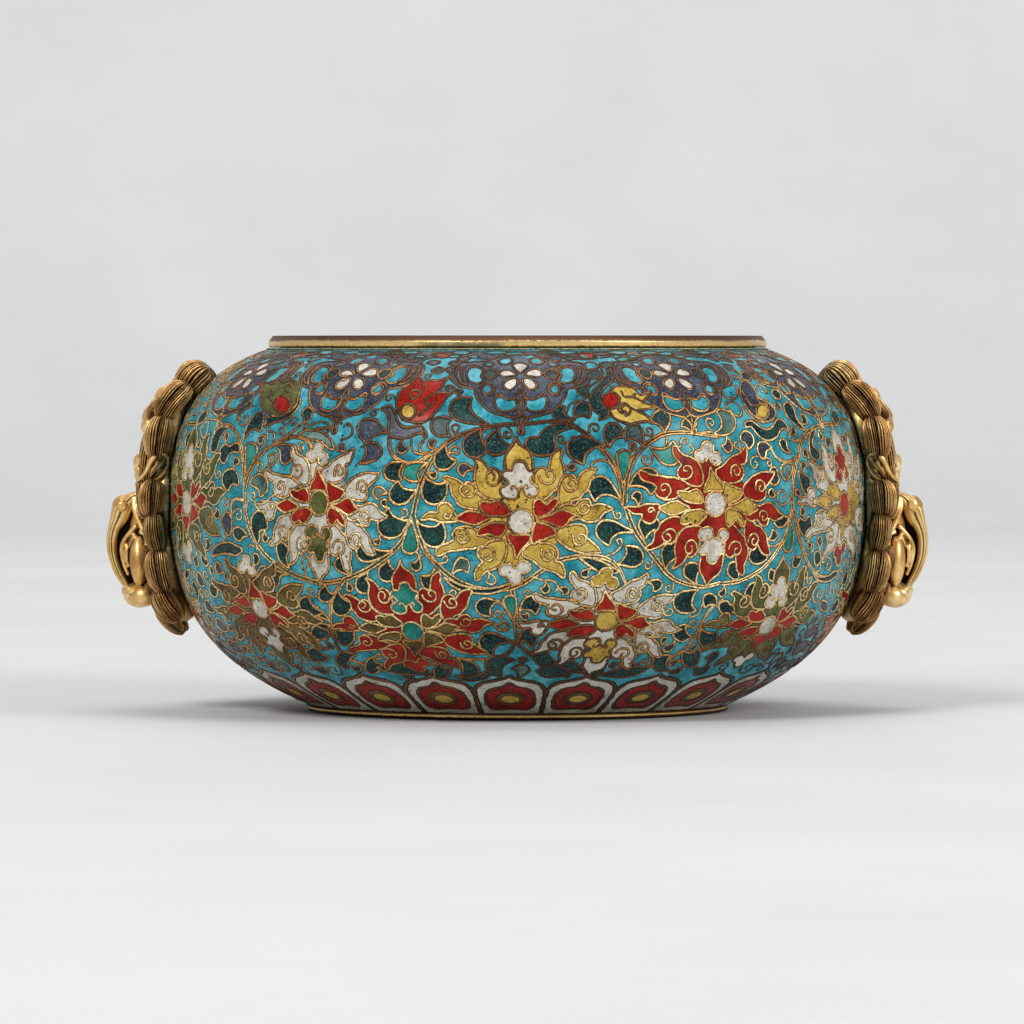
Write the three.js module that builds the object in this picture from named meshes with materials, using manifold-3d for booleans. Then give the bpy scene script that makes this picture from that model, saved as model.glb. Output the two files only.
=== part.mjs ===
// A bombe-form cloisonne incense burner: an enamelled copper vessel on a low gilt foot, with a gilt mouth
// rim, a lift-out ash liner and two cast gilt beast-head handles riveted to its sides.
// Millimetres, +Z up, the origin at the centre of the foot on the surface it stands on. The handles lie on
// the X axis.

import * as THREE from "three";
import { mergeVertices } from "three/addons/utils/BufferGeometryUtils.js";
import Module from "manifold-3d";

const wasm = await Module();
wasm.setup();

// Driving dimensions of the vessel
const bellyRadius = 115;
const bellyHeight = 67.5;
const mouthRadius = 81.5;
const mouthHeight = 119;
const mouthSlope = THREE.MathUtils.degToRad(19);
const shoulderReach = 27;
const bellyReachUp = 28;
const footRadius = 69.3;
const footSlope = THREE.MathUtils.degToRad(25);
const undersideReach = 27.6;
const bellyReachDown = 41;

// Walls and clearances
const enamelThickness = 1.2;
const copperThickness = 2;
const seatGap = 0.3;

// Mouth rim
const rimHeight = 3.7;
const rimOverhang = 0.5;
const rimTopRounding = 1.8;
const rimBottomRounding = 0.6;
const rimWidth = 8;
const rimBore = mouthRadius - rimWidth;
const neckThickness = 2;
const neckInset = 0.9;
const neckRise = 0.6;
const neckMargin = 0.5;
const collarDepth = 6;
const ledgeWidth = 3.5;
const ledgeDepth = 1.5;

// Foot
const footLipHeight = 1.3;
const footRingWidth = 6.3;
const footLandWidth = 3.3;
const footUpstandHeight = 5;
const footChamfer = 0.3;
const footLandInset = 0.9;
const footLandStep = 0.1;
const basePlateThickness = 2;

// Ash liner
const linerWall = 1.5;
const linerFlangeThickness = 1.2;
const linerSideClearance = 0.5;
const linerDepth = 74;
const linerCornerRadius = 16;

// Lappet band
const lappetBandHeight = 11.5;

// Rivets that hold the handles
const rivetHeights = { upper: 86, lower: 46 };
const rivetRadius = 2;
const rivetHeadRadius = 4.2;
const rivetHeadHeight = 1.9;
const rivetHeadEdge = 0.5;
const rivetGrip = 7;
const washerRadius = 5.5;
const washerThickness = 1.2;
const washerStandOff = 0.95;
const bossRadius = 5;
const bossRoot = 2;

// Handle castings
const handleHeight = 86;
const handleMiddleHeight = 71;
const handleBackGap = 1.6;
const handleCoreDepth = 7.7;
const handleCoreHalfWidth = 19;
const handleCoreHalfHeight = 41;
const trunkWidth = 10.3;
const trunkThickness = 3.9;

// Facets
const roundSegments = 48;
const smallSegments = 16;
const profileSteps = 7;
const cornerSteps = 4;
const beadSteps = 2;
const wellSteps = 5;
const domeSteps = 3;
const lumpSegments = 8;
const lumpRings = 5;
const coreSegments = 6;
const trunkSides = 8;
const trunkSteps = 9;

// Working values that leave no mark on the part
const halvings = 40;
const weldTolerance = 1e-4;
const stationMargin = 0.5;

const vec = (r, z) => new THREE.Vector2(r, z);

// The enamel's outer profile, from the foot up to the belly and on to the mouth.
const undersideCurve = new THREE.CubicBezierCurve(
  vec(footRadius, footLipHeight + seatGap),
  vec(
    footRadius + undersideReach * Math.cos(footSlope),
    footLipHeight + seatGap + undersideReach * Math.sin(footSlope),
  ),
  vec(bellyRadius, bellyHeight - bellyReachDown),
  vec(bellyRadius, bellyHeight),
);
const shoulderCurve = new THREE.CubicBezierCurve(
  vec(bellyRadius, bellyHeight),
  vec(bellyRadius, bellyHeight + bellyReachUp),
  vec(
    mouthRadius + shoulderReach * Math.cos(mouthSlope),
    mouthHeight - shoulderReach * Math.sin(mouthSlope),
  ),
  vec(mouthRadius, mouthHeight),
);

// A point of a profile curve and the outward normal there.
function station(curve, t) {
  const point = curve.getPoint(t);
  const tangent = curve.getTangent(t);
  return { point, normal: vec(tangent.y, -tangent.x) };
}

const stations = [];
for (let i = 0; i <= profileSteps; i++) stations.push(station(undersideCurve, i / profileSteps));
for (let i = 1; i <= profileSteps; i++) stations.push(station(shoulderCurve, i / profileSteps));

// The profile point that stands a distance off the enamel's surface, inwards when the distance is negative.
const offset = (s, distance) => s.point.clone().addScaledVector(s.normal, distance);

// The station at a height, found by halving because both curves rise all the way.
function stationAt(height) {
  const curve = height < bellyHeight ? undersideCurve : shoulderCurve;
  let low = 0;
  let high = 1;
  for (let i = 0; i < halvings; i++) {
    const middle = (low + high) / 2;
    if (curve.getPoint(middle).y < height) low = middle;
    else high = middle;
  }
  return station(curve, low);
}

// A closed ring or disc turned about Z from an outline of (radius, height) points, given anticlockwise.
function turned(outline, segments = roundSegments) {
  const closesOnAxis = outline[0].x === 0 && outline[outline.length - 1].x === 0;
  const points = closesOnAxis ? outline : [...outline, outline[0]];
  return new THREE.LatheGeometry(points, segments).rotateX(Math.PI / 2);
}

// A round stretch from one angle to another about a centre, as outline points.
function arc(centreR, centreZ, radius, fromDegrees, toDegrees, steps) {
  const points = [];
  for (let i = 0; i <= steps; i++) {
    const angle = THREE.MathUtils.degToRad(fromDegrees + ((toDegrees - fromDegrees) * i) / steps);
    points.push(vec(centreR + radius * Math.cos(angle), centreZ + radius * Math.sin(angle)));
  }
  return points;
}

// A geometry as a solid for joining and cutting.
function solid(geometry) {
  const bare = geometry.clone();
  bare.deleteAttribute("normal");
  bare.deleteAttribute("uv");
  const merged = mergeVertices(bare, weldTolerance);
  return new wasm.Manifold(
    new wasm.Mesh({
      numProp: 3,
      vertProperties: new Float32Array(merged.attributes.position.array),
      triVerts: new Uint32Array(merged.index.array),
    }),
  );
}

// A solid back as a geometry.
function geometryOf(manifold) {
  const mesh = manifold.getMesh();
  const geometry = new THREE.BufferGeometry();
  geometry.setAttribute("position", new THREE.BufferAttribute(mesh.vertProperties, 3));
  geometry.setIndex(new THREE.BufferAttribute(mesh.triVerts, 1));
  geometry.computeVertexNormals();
  return geometry;
}

const joined = (solids) => solids.reduce((all, next) => all.add(next));
const cutBy = (first, solids) => solids.reduce((left, next) => left.subtract(next), first);

// Rivet seats: a frame on the vessel's surface whose Z axis points out along the surface normal.
const rivetSeats = Object.fromEntries(
  Object.entries(rivetHeights).map(([name, height]) => {
    const { point, normal } = stationAt(height);
    const outwards = new THREE.Vector3(normal.x, 0, normal.y);
    const turn = new THREE.Quaternion().setFromUnitVectors(new THREE.Vector3(0, 0, 1), outwards);
    const place = new THREE.Matrix4().compose(
      new THREE.Vector3(point.x, 0, point.y),
      turn,
      new THREE.Vector3(1, 1, 1),
    );
    return [name, place];
  }),
);

// A cylinder along a rivet seat's axis between two distances from the surface.
function seatCylinder(place, radius, from, to) {
  return new THREE.CylinderGeometry(radius, radius, to - from, smallSegments)
    .rotateX(Math.PI / 2)
    .translate(0, 0, (from + to) / 2)
    .applyMatrix4(place);
}

const halfTurn = new THREE.Matrix4().makeRotationZ(Math.PI);
const wallDepth = enamelThickness + seatGap + copperThickness;
const bossReach = handleBackGap + bossRoot;

// The four holes through the vessel's wall, one for each rivet. Each cutter runs clear of the wall both ways.
const rivetHoles = [];
for (const place of Object.values(rivetSeats)) {
  for (const side of [new THREE.Matrix4(), halfTurn]) {
    const hole = seatCylinder(place, rivetRadius + seatGap, -2 * wallDepth, wallDepth);
    rivetHoles.push(solid(hole.applyMatrix4(side)));
  }
}

// A shell between two distances from the outer profile, over the stations of one zone.
function shellOutline(zone, outer, inner) {
  return [
    ...zone.map((s) => offset(s, outer)),
    ...zone.map((s) => offset(s, inner)).reverse(),
  ];
}

const lappetTop = stationAt(lappetBandHeight);
const lappetZone = [...stations.filter((s) => s.point.y < lappetTop.point.y - stationMargin), lappetTop];
const fieldFoot = stationAt(lappetBandHeight + seatGap);
const fieldZone = [fieldFoot, ...stations.filter((s) => s.point.y > fieldFoot.point.y + stationMargin)];

function enamelField() {
  const shell = solid(turned(shellOutline(fieldZone, 0, -enamelThickness)));
  return geometryOf(cutBy(shell, rivetHoles));
}

function enamelLappetBand() {
  return turned(shellOutline(lappetZone, 0, -enamelThickness));
}

// The copper vessel: the wall behind the enamel, a land on the foot and an upright neck under the rim.
const neckRadius = mouthRadius - neckInset;
const neckBore = neckRadius - neckThickness;
const footLandBore = footRadius - footLandWidth;
function copperBody() {
  const outerDepth = -(enamelThickness + seatGap);
  const wall = stations.filter(
    (s) => s.point.y < bellyHeight || offset(s, outerDepth).x > neckRadius + neckMargin,
  );
  const outerWall = wall.map((s) => offset(s, outerDepth));
  const innerWall = wall.map((s) => offset(s, -wallDepth)).reverse();
  const neckFoot = outerWall[outerWall.length - 1].y + neckRise;
  const outline = [
    vec(footLandBore, footLipHeight + seatGap),
    vec(footRadius - footLandInset, footLipHeight + seatGap),
    ...outerWall,
    vec(neckRadius, neckFoot),
    vec(neckRadius, mouthHeight),
    vec(neckBore, mouthHeight),
    vec(neckBore, neckFoot - copperThickness),
    ...innerWall,
    vec(footLandBore, innerWall[innerWall.length - 1].y + footLandStep),
  ];
  return geometryOf(cutBy(solid(turned(outline)), rivetHoles));
}

const rimBottom = mouthHeight + seatGap;
const rimTop = rimBottom + rimHeight;
const rimRadius = mouthRadius + rimOverhang;
const ledgeRadius = rimBore + ledgeWidth;
function mouthRim() {
  const collarRadius = neckBore - seatGap;
  return turned([
    vec(rimBore, rimBottom - collarDepth),
    vec(collarRadius, rimBottom - collarDepth),
    vec(collarRadius, rimBottom),
    ...arc(
      rimRadius - rimBottomRounding,
      rimBottom + rimBottomRounding,
      rimBottomRounding,
      -90,
      0,
      beadSteps,
    ),
    ...arc(rimRadius - rimTopRounding, rimTop - rimTopRounding, rimTopRounding, 0, 90, cornerSteps),
    vec(ledgeRadius, rimTop),
    vec(ledgeRadius, rimTop - ledgeDepth),
    vec(rimBore, rimTop - ledgeDepth),
  ]);
}

const upstandRadius = footLandBore - seatGap;
const footBore = footRadius - footRingWidth;
function footRing() {
  return turned([
    vec(footBore, 0),
    vec(footRadius - footChamfer, 0),
    vec(footRadius, footChamfer),
    vec(footRadius, footLipHeight),
    vec(upstandRadius, footLipHeight),
    vec(upstandRadius, footUpstandHeight),
    vec(footBore, footUpstandHeight),
  ]);
}

function basePlate() {
  const bottom = footUpstandHeight + seatGap;
  return turned([
    vec(0, bottom),
    vec(upstandRadius, bottom),
    vec(upstandRadius, bottom + basePlateThickness),
    vec(0, bottom + basePlateThickness),
  ]);
}

// The liner hangs by its flange on the ledge inside the rim.
function ashLiner() {
  const flangeBottom = rimTop - ledgeDepth + seatGap;
  const flangeTop = flangeBottom + linerFlangeThickness;
  const flangeRadius = ledgeRadius - seatGap;
  const outer = rimBore - linerSideClearance;
  const inner = outer - linerWall;
  const bottom = flangeTop - linerDepth;
  const cornerZ = bottom + linerCornerRadius;
  const cornerR = outer - linerCornerRadius;
  return turned([
    vec(0, bottom),
    ...arc(cornerR, cornerZ, linerCornerRadius, -90, 0, wellSteps),
    vec(outer, flangeBottom),
    vec(flangeRadius, flangeBottom),
    vec(flangeRadius, flangeTop),
    vec(inner, flangeTop),
    ...arc(cornerR, cornerZ, linerCornerRadius - linerWall, 0, -90, wellSteps),
    vec(0, bottom + linerWall),
  ]);
}

// Every feature of a handle is laid out in hundredths of the casting's height: how far it stands out from the
// vessel's skin, how far to the side it sits and how far above the casting's middle it is.
const unit = handleHeight / 100;
function spot(feature) {
  const z = handleMiddleHeight + feature.up * unit;
  return [stationAt(z).point.x + feature.out * unit, feature.side * unit, z];
}

// A feature as an egg-shaped solid, leaning about the Y axis by an angle in degrees.
function lump(feature, mirror = 1) {
  const [x, y, z] = spot(feature);
  const ball = new THREE.SphereGeometry(unit, lumpSegments, lumpRings)
    .rotateX(Math.PI / 2)
    .scale(feature.deep, feature.wide, feature.tall)
    .rotateY(THREE.MathUtils.degToRad(feature.lean ?? 0))
    .translate(x, y * mirror, z);
  return solid(ball);
}

// The vessel's outside grown by a distance, as a cutter for the back of a handle.
function grownVessel(distance) {
  const grown = stations.map((s) => offset(s, distance));
  return solid(turned([vec(0, grown[0].y), ...grown, vec(0, grown[grown.length - 1].y)]));
}

// The slab behind the head, which follows the vessel. Its block runs from the vessel's axis to well clear of
// the belly.
function handleCore() {
  const outline = new THREE.Shape();
  outline.absellipse(0, 0, handleCoreHalfWidth, handleCoreHalfHeight, 0, 2 * Math.PI, false, 0);
  const reach = { depth: 2 * bellyRadius, bevelEnabled: false, curveSegments: coreSegments };
  const block = new THREE.ExtrudeGeometry(outline, reach)
    .rotateX(Math.PI / 2)
    .rotateZ(Math.PI / 2)
    .translate(0, 0, handleMiddleHeight);
  return solid(block).intersect(grownVessel(handleBackGap + handleCoreDepth));
}

// Features on the middle line of the head.
const middleFeatures = {
  crown: { out: 8, side: 0, up: 41, deep: 7, wide: 10, tall: 9, lean: -40 },
  forelock: { out: 12, side: 0, up: 27, deep: 6, wide: 7, tall: 7, lean: 30 },
  brow: { out: 7, side: 0, up: 17, deep: 8, wide: 16, tall: 13 },
  muzzle: { out: 3, side: 0, up: -2, deep: 10, wide: 19, tall: 18 },
  mouth: { out: 5, side: 0, up: -20, deep: 9, wide: 17, tall: 14 },
  nose: { out: 18, side: 0, up: -5, deep: 4.6, wide: 7, tall: 4.4 },
  jaw: { out: 17, side: 0, up: -39, deep: 6.5, wide: 9, tall: 5, lean: 20 },
  chin: { out: 21, side: 0, up: -37, deep: 2.8, wide: 4.8, tall: 2.8 },
};

// Features on both cheeks of the head.
const sideFeatures = {
  browRidge: { out: 10, side: 7, up: 13, deep: 3.6, wide: 6, tall: 3.4 },
  eye: { out: 9.5, side: 8, up: 6.5, deep: 3.4, wide: 4, tall: 3.4 },
  ear: { out: 5, side: 21, up: 10, deep: 3, wide: 2.6, tall: 8.4, lean: -48 },
  cheek: { out: 12, side: 10, up: -25, deep: 4.6, wide: 6, tall: 9.6, lean: 4 },
  tusk: { out: 16.5, side: 8, up: -20, deep: 2, wide: 1.8, tall: 8, lean: 8 },
};

// Locks of the mane down both flanks, from the crown to the beard.
const maneLocks = {
  first: { out: 8.4, side: 10.5, up: 43.6, deep: 7, wide: 7.6, tall: 8.8, lean: -50 },
  second: { out: 7.6, side: 17, up: 35.4, deep: 7, wide: 7.6, tall: 10.2, lean: -40 },
  third: { out: 7, side: 21, up: 22.5, deep: 7.2, wide: 7.6, tall: 9.8, lean: -10 },
  fourth: { out: 4.9, side: 22.7, up: -0.5, deep: 6.6, wide: 7, tall: 8, lean: -6 },
  fifth: { out: 3.8, side: 23.3, up: -13.7, deep: 6.4, wide: 7.2, tall: 8, lean: 4 },
  sixth: { out: 5.4, side: 22, up: -28, deep: 6.8, wide: 7.4, tall: 10, lean: 14 },
  seventh: { out: 9.5, side: 17.5, up: -40.7, deep: 6.4, wide: 7.2, tall: 9, lean: 38 },
  last: { out: 14, side: 10.5, up: -47.4, deep: 4.2, wide: 6.4, tall: 7.9, lean: 52 },
};

// The trunk: a strap that arches from the nose over the mouth down to the chin, through these places.
const trunkPlaces = {
  root: { out: 12, side: 0, up: -1.5 },
  bridge: { out: 17, side: 0, up: -3.5 },
  bend: { out: 20.8, side: 0, up: -9 },
  front: { out: 22.6, side: 0, up: -22 },
  tip: { out: 20.6, side: 0, up: -37.5 },
};

// The strap's section is an oval with flattened faces, square to its middle line.
function trunk() {
  const places = Object.values(trunkPlaces).map((place) => new THREE.Vector3(...spot(place)));
  const path = new THREE.CatmullRomCurve3(places);
  const section = new THREE.Shape();
  for (let i = 0; i < trunkSides; i++) {
    const angle = (2 * Math.PI * (i + 0.5)) / trunkSides;
    const across = (trunkWidth / 2) * Math.sign(Math.cos(angle)) * Math.sqrt(Math.abs(Math.cos(angle)));
    const along = (trunkThickness / 2) * Math.sin(angle);
    if (i === 0) section.moveTo(across, along);
    else section.lineTo(across, along);
  }
  return solid(
    new THREE.ExtrudeGeometry(section, { extrudePath: path, steps: trunkSteps, bevelEnabled: false }),
  );
}

// One handle casting, on the +X side, with its two bosses bored for the rivets.
function handle() {
  const middle = Object.values(middleFeatures).map((feature) => lump(feature));
  const flanks = [...Object.values(sideFeatures), ...Object.values(maneLocks)].flatMap((feature) => [
    lump(feature, 1),
    lump(feature, -1),
  ]);
  const head = joined([handleCore(), ...middle, ...flanks, trunk()]).subtract(grownVessel(handleBackGap));
  const places = Object.values(rivetSeats);
  const bosses = places.map((place) => solid(seatCylinder(place, bossRadius, seatGap, bossReach)));
  const bores = places.map((place) =>
    solid(seatCylinder(place, rivetRadius + seatGap, -seatGap, rivetGrip + seatGap)),
  );
  return geometryOf(cutBy(joined([head, ...bosses]), bores));
}

// A rivet with its peened head inside the vessel, along Z with the wall's surface at zero.
const washerTop = -(wallDepth + washerStandOff);
const headTop = washerTop - washerThickness - seatGap;
function rivet() {
  const dome = [];
  for (let i = 0; i <= domeSteps; i++) {
    const angle = ((Math.PI / 2) * i) / domeSteps;
    const rise = rivetHeadEdge + (rivetHeadHeight - rivetHeadEdge) * Math.cos(angle);
    dome.push(vec(rivetHeadRadius * Math.sin(angle), headTop - rise));
  }
  return turned(
    [
      ...dome,
      vec(rivetHeadRadius, headTop),
      vec(rivetRadius, headTop),
      vec(rivetRadius, rivetGrip),
      vec(0, rivetGrip),
    ],
    smallSegments,
  );
}

function washer() {
  return turned(
    [
      vec(rivetRadius + seatGap, washerTop - washerThickness),
      vec(washerRadius, washerTop - washerThickness),
      vec(washerRadius, washerTop),
      vec(rivetRadius + seatGap, washerTop),
    ],
    smallSegments,
  );
}

const finishes = {
  enamelBlue: new THREE.MeshStandardMaterial({ color: 0x2a97b4, roughness: 0.25, metalness: 0 }),
  enamelWhite: new THREE.MeshStandardMaterial({ color: 0xc9c4bd, roughness: 0.28, metalness: 0 }),
  copper: new THREE.MeshStandardMaterial({ color: 0x8a5a33, roughness: 0.5, metalness: 1 }),
  gilt: new THREE.MeshStandardMaterial({ color: 0xc9983f, roughness: 0.32, metalness: 1 }),
  wornGilt: new THREE.MeshStandardMaterial({ color: 0x9c7340, roughness: 0.4, metalness: 1 }),
};

const burner = new THREE.Group();

function add(parent, name, geometry, finish) {
  const mesh = new THREE.Mesh(geometry, finish);
  mesh.name = name;
  parent.add(mesh);
  return mesh;
}

add(burner, "copper_body", copperBody(), finishes.copper);
add(burner, "enamel_field", enamelField(), finishes.enamelBlue);
add(burner, "enamel_lappet_band", enamelLappetBand(), finishes.enamelWhite);
add(burner, "mouth_rim", mouthRim(), finishes.wornGilt);
add(burner, "foot_ring", footRing(), finishes.gilt);
add(burner, "base_plate", basePlate(), finishes.gilt);
add(burner, "ash_liner", ashLiner(), finishes.copper);

// Each side's handle, rivets and washers hang from one group. The left side is the right side turned about Z.
const sides = { right: 0, left: Math.PI };
for (const [side, turn] of Object.entries(sides)) {
  const group = new THREE.Group();
  group.rotation.z = turn;
  burner.add(group);
  add(group, `handle_${side}`, handle(), finishes.gilt);
  for (const [level, place] of Object.entries(rivetSeats)) {
    const fastening = new THREE.Group();
    fastening.applyMatrix4(place);
    group.add(fastening);
    add(fastening, `rivet_${side}_${level}`, rivet(), finishes.copper);
    add(fastening, `washer_${side}_${level}`, washer(), finishes.copper);
  }
}

export default burner;
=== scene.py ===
"""Visual model of the cloisonne incense burner. Millimetres inside the helpers, metres in the meshes."""

import bpy
import json
import math
import numpy as np
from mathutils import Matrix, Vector
from mathutils.geometry import delaunay_2d_cdt


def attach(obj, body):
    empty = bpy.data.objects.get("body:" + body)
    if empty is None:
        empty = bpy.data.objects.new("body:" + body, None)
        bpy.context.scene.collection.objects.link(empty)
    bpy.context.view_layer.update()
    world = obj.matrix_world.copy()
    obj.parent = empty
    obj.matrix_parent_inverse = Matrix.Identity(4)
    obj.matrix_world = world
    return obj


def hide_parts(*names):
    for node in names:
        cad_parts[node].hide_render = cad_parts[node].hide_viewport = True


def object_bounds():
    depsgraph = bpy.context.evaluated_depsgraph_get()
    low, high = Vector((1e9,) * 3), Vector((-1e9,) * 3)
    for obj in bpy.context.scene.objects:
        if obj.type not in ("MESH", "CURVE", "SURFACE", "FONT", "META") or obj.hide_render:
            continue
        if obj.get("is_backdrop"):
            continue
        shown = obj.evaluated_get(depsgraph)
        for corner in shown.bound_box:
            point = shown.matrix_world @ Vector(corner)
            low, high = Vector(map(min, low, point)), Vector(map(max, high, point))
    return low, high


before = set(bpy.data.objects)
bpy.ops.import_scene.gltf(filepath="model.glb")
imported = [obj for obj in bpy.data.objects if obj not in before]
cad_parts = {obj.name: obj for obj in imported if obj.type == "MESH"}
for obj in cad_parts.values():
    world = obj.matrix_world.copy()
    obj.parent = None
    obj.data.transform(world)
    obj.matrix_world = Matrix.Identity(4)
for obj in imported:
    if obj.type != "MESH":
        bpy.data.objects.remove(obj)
box_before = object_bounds()
MM = 0.001
TURN = 2 * math.pi

# Sizes of the vessel, the same as the solids'
BELLY_R, BELLY_Z = 115.0, 67.5
MOUTH_R, MOUTH_Z = 81.5, 119.0
MOUTH_SLOPE, MOUTH_REACH = math.radians(19), 27.0
FOOT_R, FOOT_Z = 69.3, 1.6
FOOT_SLOPE, FOOT_REACH = math.radians(25), 27.6
BELLY_REACH_UP, BELLY_REACH_DOWN = 28.0, 41.0
ENAMEL_DEPTH = 1.2


def bezier(*corners, n=400):
    t = np.linspace(0, 1, n)[:, None]
    a, b, c, d = map(np.array, corners)
    return (1 - t) ** 3 * a + 3 * (1 - t) ** 2 * t * b + 3 * (1 - t) * t * t * c + t**3 * d


UNDERSIDE = bezier(
    (FOOT_R, FOOT_Z),
    (FOOT_R + FOOT_REACH * math.cos(FOOT_SLOPE), FOOT_Z + FOOT_REACH * math.sin(FOOT_SLOPE)),
    (BELLY_R, BELLY_Z - BELLY_REACH_DOWN),
    (BELLY_R, BELLY_Z),
)
SHOULDER = bezier(
    (BELLY_R, BELLY_Z),
    (BELLY_R, BELLY_Z + BELLY_REACH_UP),
    (MOUTH_R + MOUTH_REACH * math.cos(MOUTH_SLOPE), MOUTH_Z - MOUTH_REACH * math.sin(MOUTH_SLOPE)),
    (MOUTH_R, MOUTH_Z),
)
PROFILE = np.vstack([UNDERSIDE, SHOULDER[1:]])
STEPS = np.diff(PROFILE, axis=0)

# Arc length along the profile, which is 0 at the belly, and the outward normals
ARC = np.concatenate([[0], np.cumsum(np.hypot(STEPS[:, 0], STEPS[:, 1]))])
ARC -= ARC[len(UNDERSIDE) - 1]
TANGENTS = np.gradient(PROFILE, ARC, axis=0)
NORMALS = np.stack([TANGENTS[:, 1], -TANGENTS[:, 0]], axis=1)
NORMALS /= np.linalg.norm(NORMALS, axis=1)[:, None]
S_FOOT, S_MOUTH = ARC[0], ARC[-1]

# The pattern's figures stand a little closer together in front than at the back.
CROWDING = 0.055


def radius(s):
    return np.interp(s, ARC, PROFILE[:, 0])


def arc_at(z):
    return np.interp(z, PROFILE[:, 1], ARC)


def on_wall(theta, s, h):
    """Point of the skin: azimuth in the pattern (radians), arc height and height off the skin (mm)."""
    theta = theta - CROWDING * np.sin(theta)
    r = radius(s) + h * np.interp(s, ARC, NORMALS[:, 0])
    z = np.interp(s, ARC, PROFILE[:, 1]) + h * np.interp(s, ARC, NORMALS[:, 1])
    return np.stack([r * np.sin(theta), -r * np.cos(theta), z], axis=-1)


# Mesh helpers
def new_mesh(name, verts, faces, materials, kinds=None, smooth=True):
    """An object in metres from points in millimetres. Kinds say which material each face has."""
    mesh = bpy.data.meshes.new(name)
    mesh.from_pydata((np.asarray(verts) * MM).tolist(), [], faces)
    for material in materials:
        mesh.materials.append(material)
    if kinds is not None:
        mesh.polygons.foreach_set("material_index", np.asarray(kinds, dtype=np.int32))
    mesh.polygons.foreach_set("use_smooth", np.full(len(mesh.polygons), smooth))
    mesh.update()
    ob = bpy.data.objects.new(name, mesh)
    bpy.context.scene.collection.objects.link(ob)
    return ob


def merge(parts):
    """Joins parts of points, faces and, where they have it, one more value for each point or face."""
    faces = []
    start = 0
    for part in parts:
        faces += [tuple(start + i for i in face) for face in part[1]]
        start += len(part[0])
    values = [part[2] if len(part) > 2 else np.ones(len(part[0])) for part in parts]
    return np.vstack([part[0] for part in parts]), faces, np.concatenate(values)


def tube_faces(around, along):
    """The faces of a tube's wall, ring after ring."""
    faces = []
    for first in range(0, around * (along - 1), around):
        for i in range(around):
            a, b = first + i, first + (i + 1) % around
            faces.append((a, b, b + around, a + around))
    return faces


def lathe(name, outline, material, steps=192):
    """Turns a closed outline of (radius, height) points. A point on the axis becomes one vertex."""
    verts, faces, rings = [], [], []
    for r, z in outline:
        count = steps if r > 0 else 1
        rings.append([len(verts) + k % count for k in range(steps)])
        verts += [(r * math.cos(TURN * k / steps), r * math.sin(TURN * k / steps), z) for k in range(count)]
    for low, high in zip(rings, rings[1:] + rings[:1]):
        for k in range(steps):
            m = (k + 1) % steps
            face = tuple(dict.fromkeys((low[k], low[m], high[m], high[k])))
            if len(face) > 2:
                faces.append(face)
    return new_mesh(name, verts, faces, [material])


def arc(r, z, size, start, end, n):
    """Points of an arc round (r, z), from one angle to another in degrees."""
    angles = np.radians(np.linspace(start, end, n + 1))
    return [(r + size * math.cos(a), z + size * math.sin(a)) for a in angles]


def sharp_edges(ob, degrees=40):
    ob.modifiers.new("edges", "EDGE_SPLIT").split_angle = math.radians(degrees)


# Materials
def colour_of(value):
    """Linear red, green and blue from a hex code, a grey or three numbers."""
    if isinstance(value, str):
        parts = [int(value[i : i + 2], 16) / 255 for i in (0, 2, 4)]
        return tuple(c / 12.92 if c <= 0.04045 else ((c + 0.055) / 1.055) ** 2.4 for c in parts)
    return value if isinstance(value, tuple) else (value,) * 3


def feed(node, values):
    """Links fields to a node's inputs, and sets the others to their numbers."""
    for key, value in values.items():
        if isinstance(value, Field):
            node.id_data.links.new(value.socket, node.inputs[key])
        else:
            node.inputs[key].default_value = value


def new_node(tree, kind, values, **settings):
    node = tree.nodes.new("ShaderNode" + kind)
    for name, value in settings.items():
        setattr(node, name, value)
    feed(node, values)
    return node


class Field:
    """A node's output. It is added, subtracted and multiplied like a number, or put through a ramp."""

    def __init__(self, node, output=0):
        self.tree = node.id_data
        self.socket = node.outputs[output]

    def math(self, operation, other=0.0):
        return Field(new_node(self.tree, "Math", {0: self, 1: other}, operation=operation))

    def __add__(self, other):
        return self.math("ADD", other)

    def __sub__(self, other):
        return self.math("SUBTRACT", other)

    def __rsub__(self, number):
        return Field(new_node(self.tree, "Math", {0: number, 1: self}, operation="SUBTRACT"))

    def __mul__(self, other):
        return self.math("MULTIPLY", other)

    def ramp(self, *stops):
        """A colour for every value, from stops that are each a value and its colour."""
        node = new_node(self.tree, "ValToRGB", {0: self})
        elements = node.color_ramp.elements
        while len(elements) < len(stops):
            elements.new(0.5)
        for element, (place, colour) in zip(elements, stops):
            element.position = place
            element.color = (*colour_of(colour), 1)
        return Field(node)

    def mix(self, amount, other, mode="MIX"):
        """This colour with some of another laid over it."""
        if not isinstance(other, Field):
            other = (*colour_of(other), 1)
        values = {0: amount, 6: self, 7: other}
        return Field(new_node(self.tree, "Mix", values, data_type="RGBA", blend_type=mode), 2)


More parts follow.
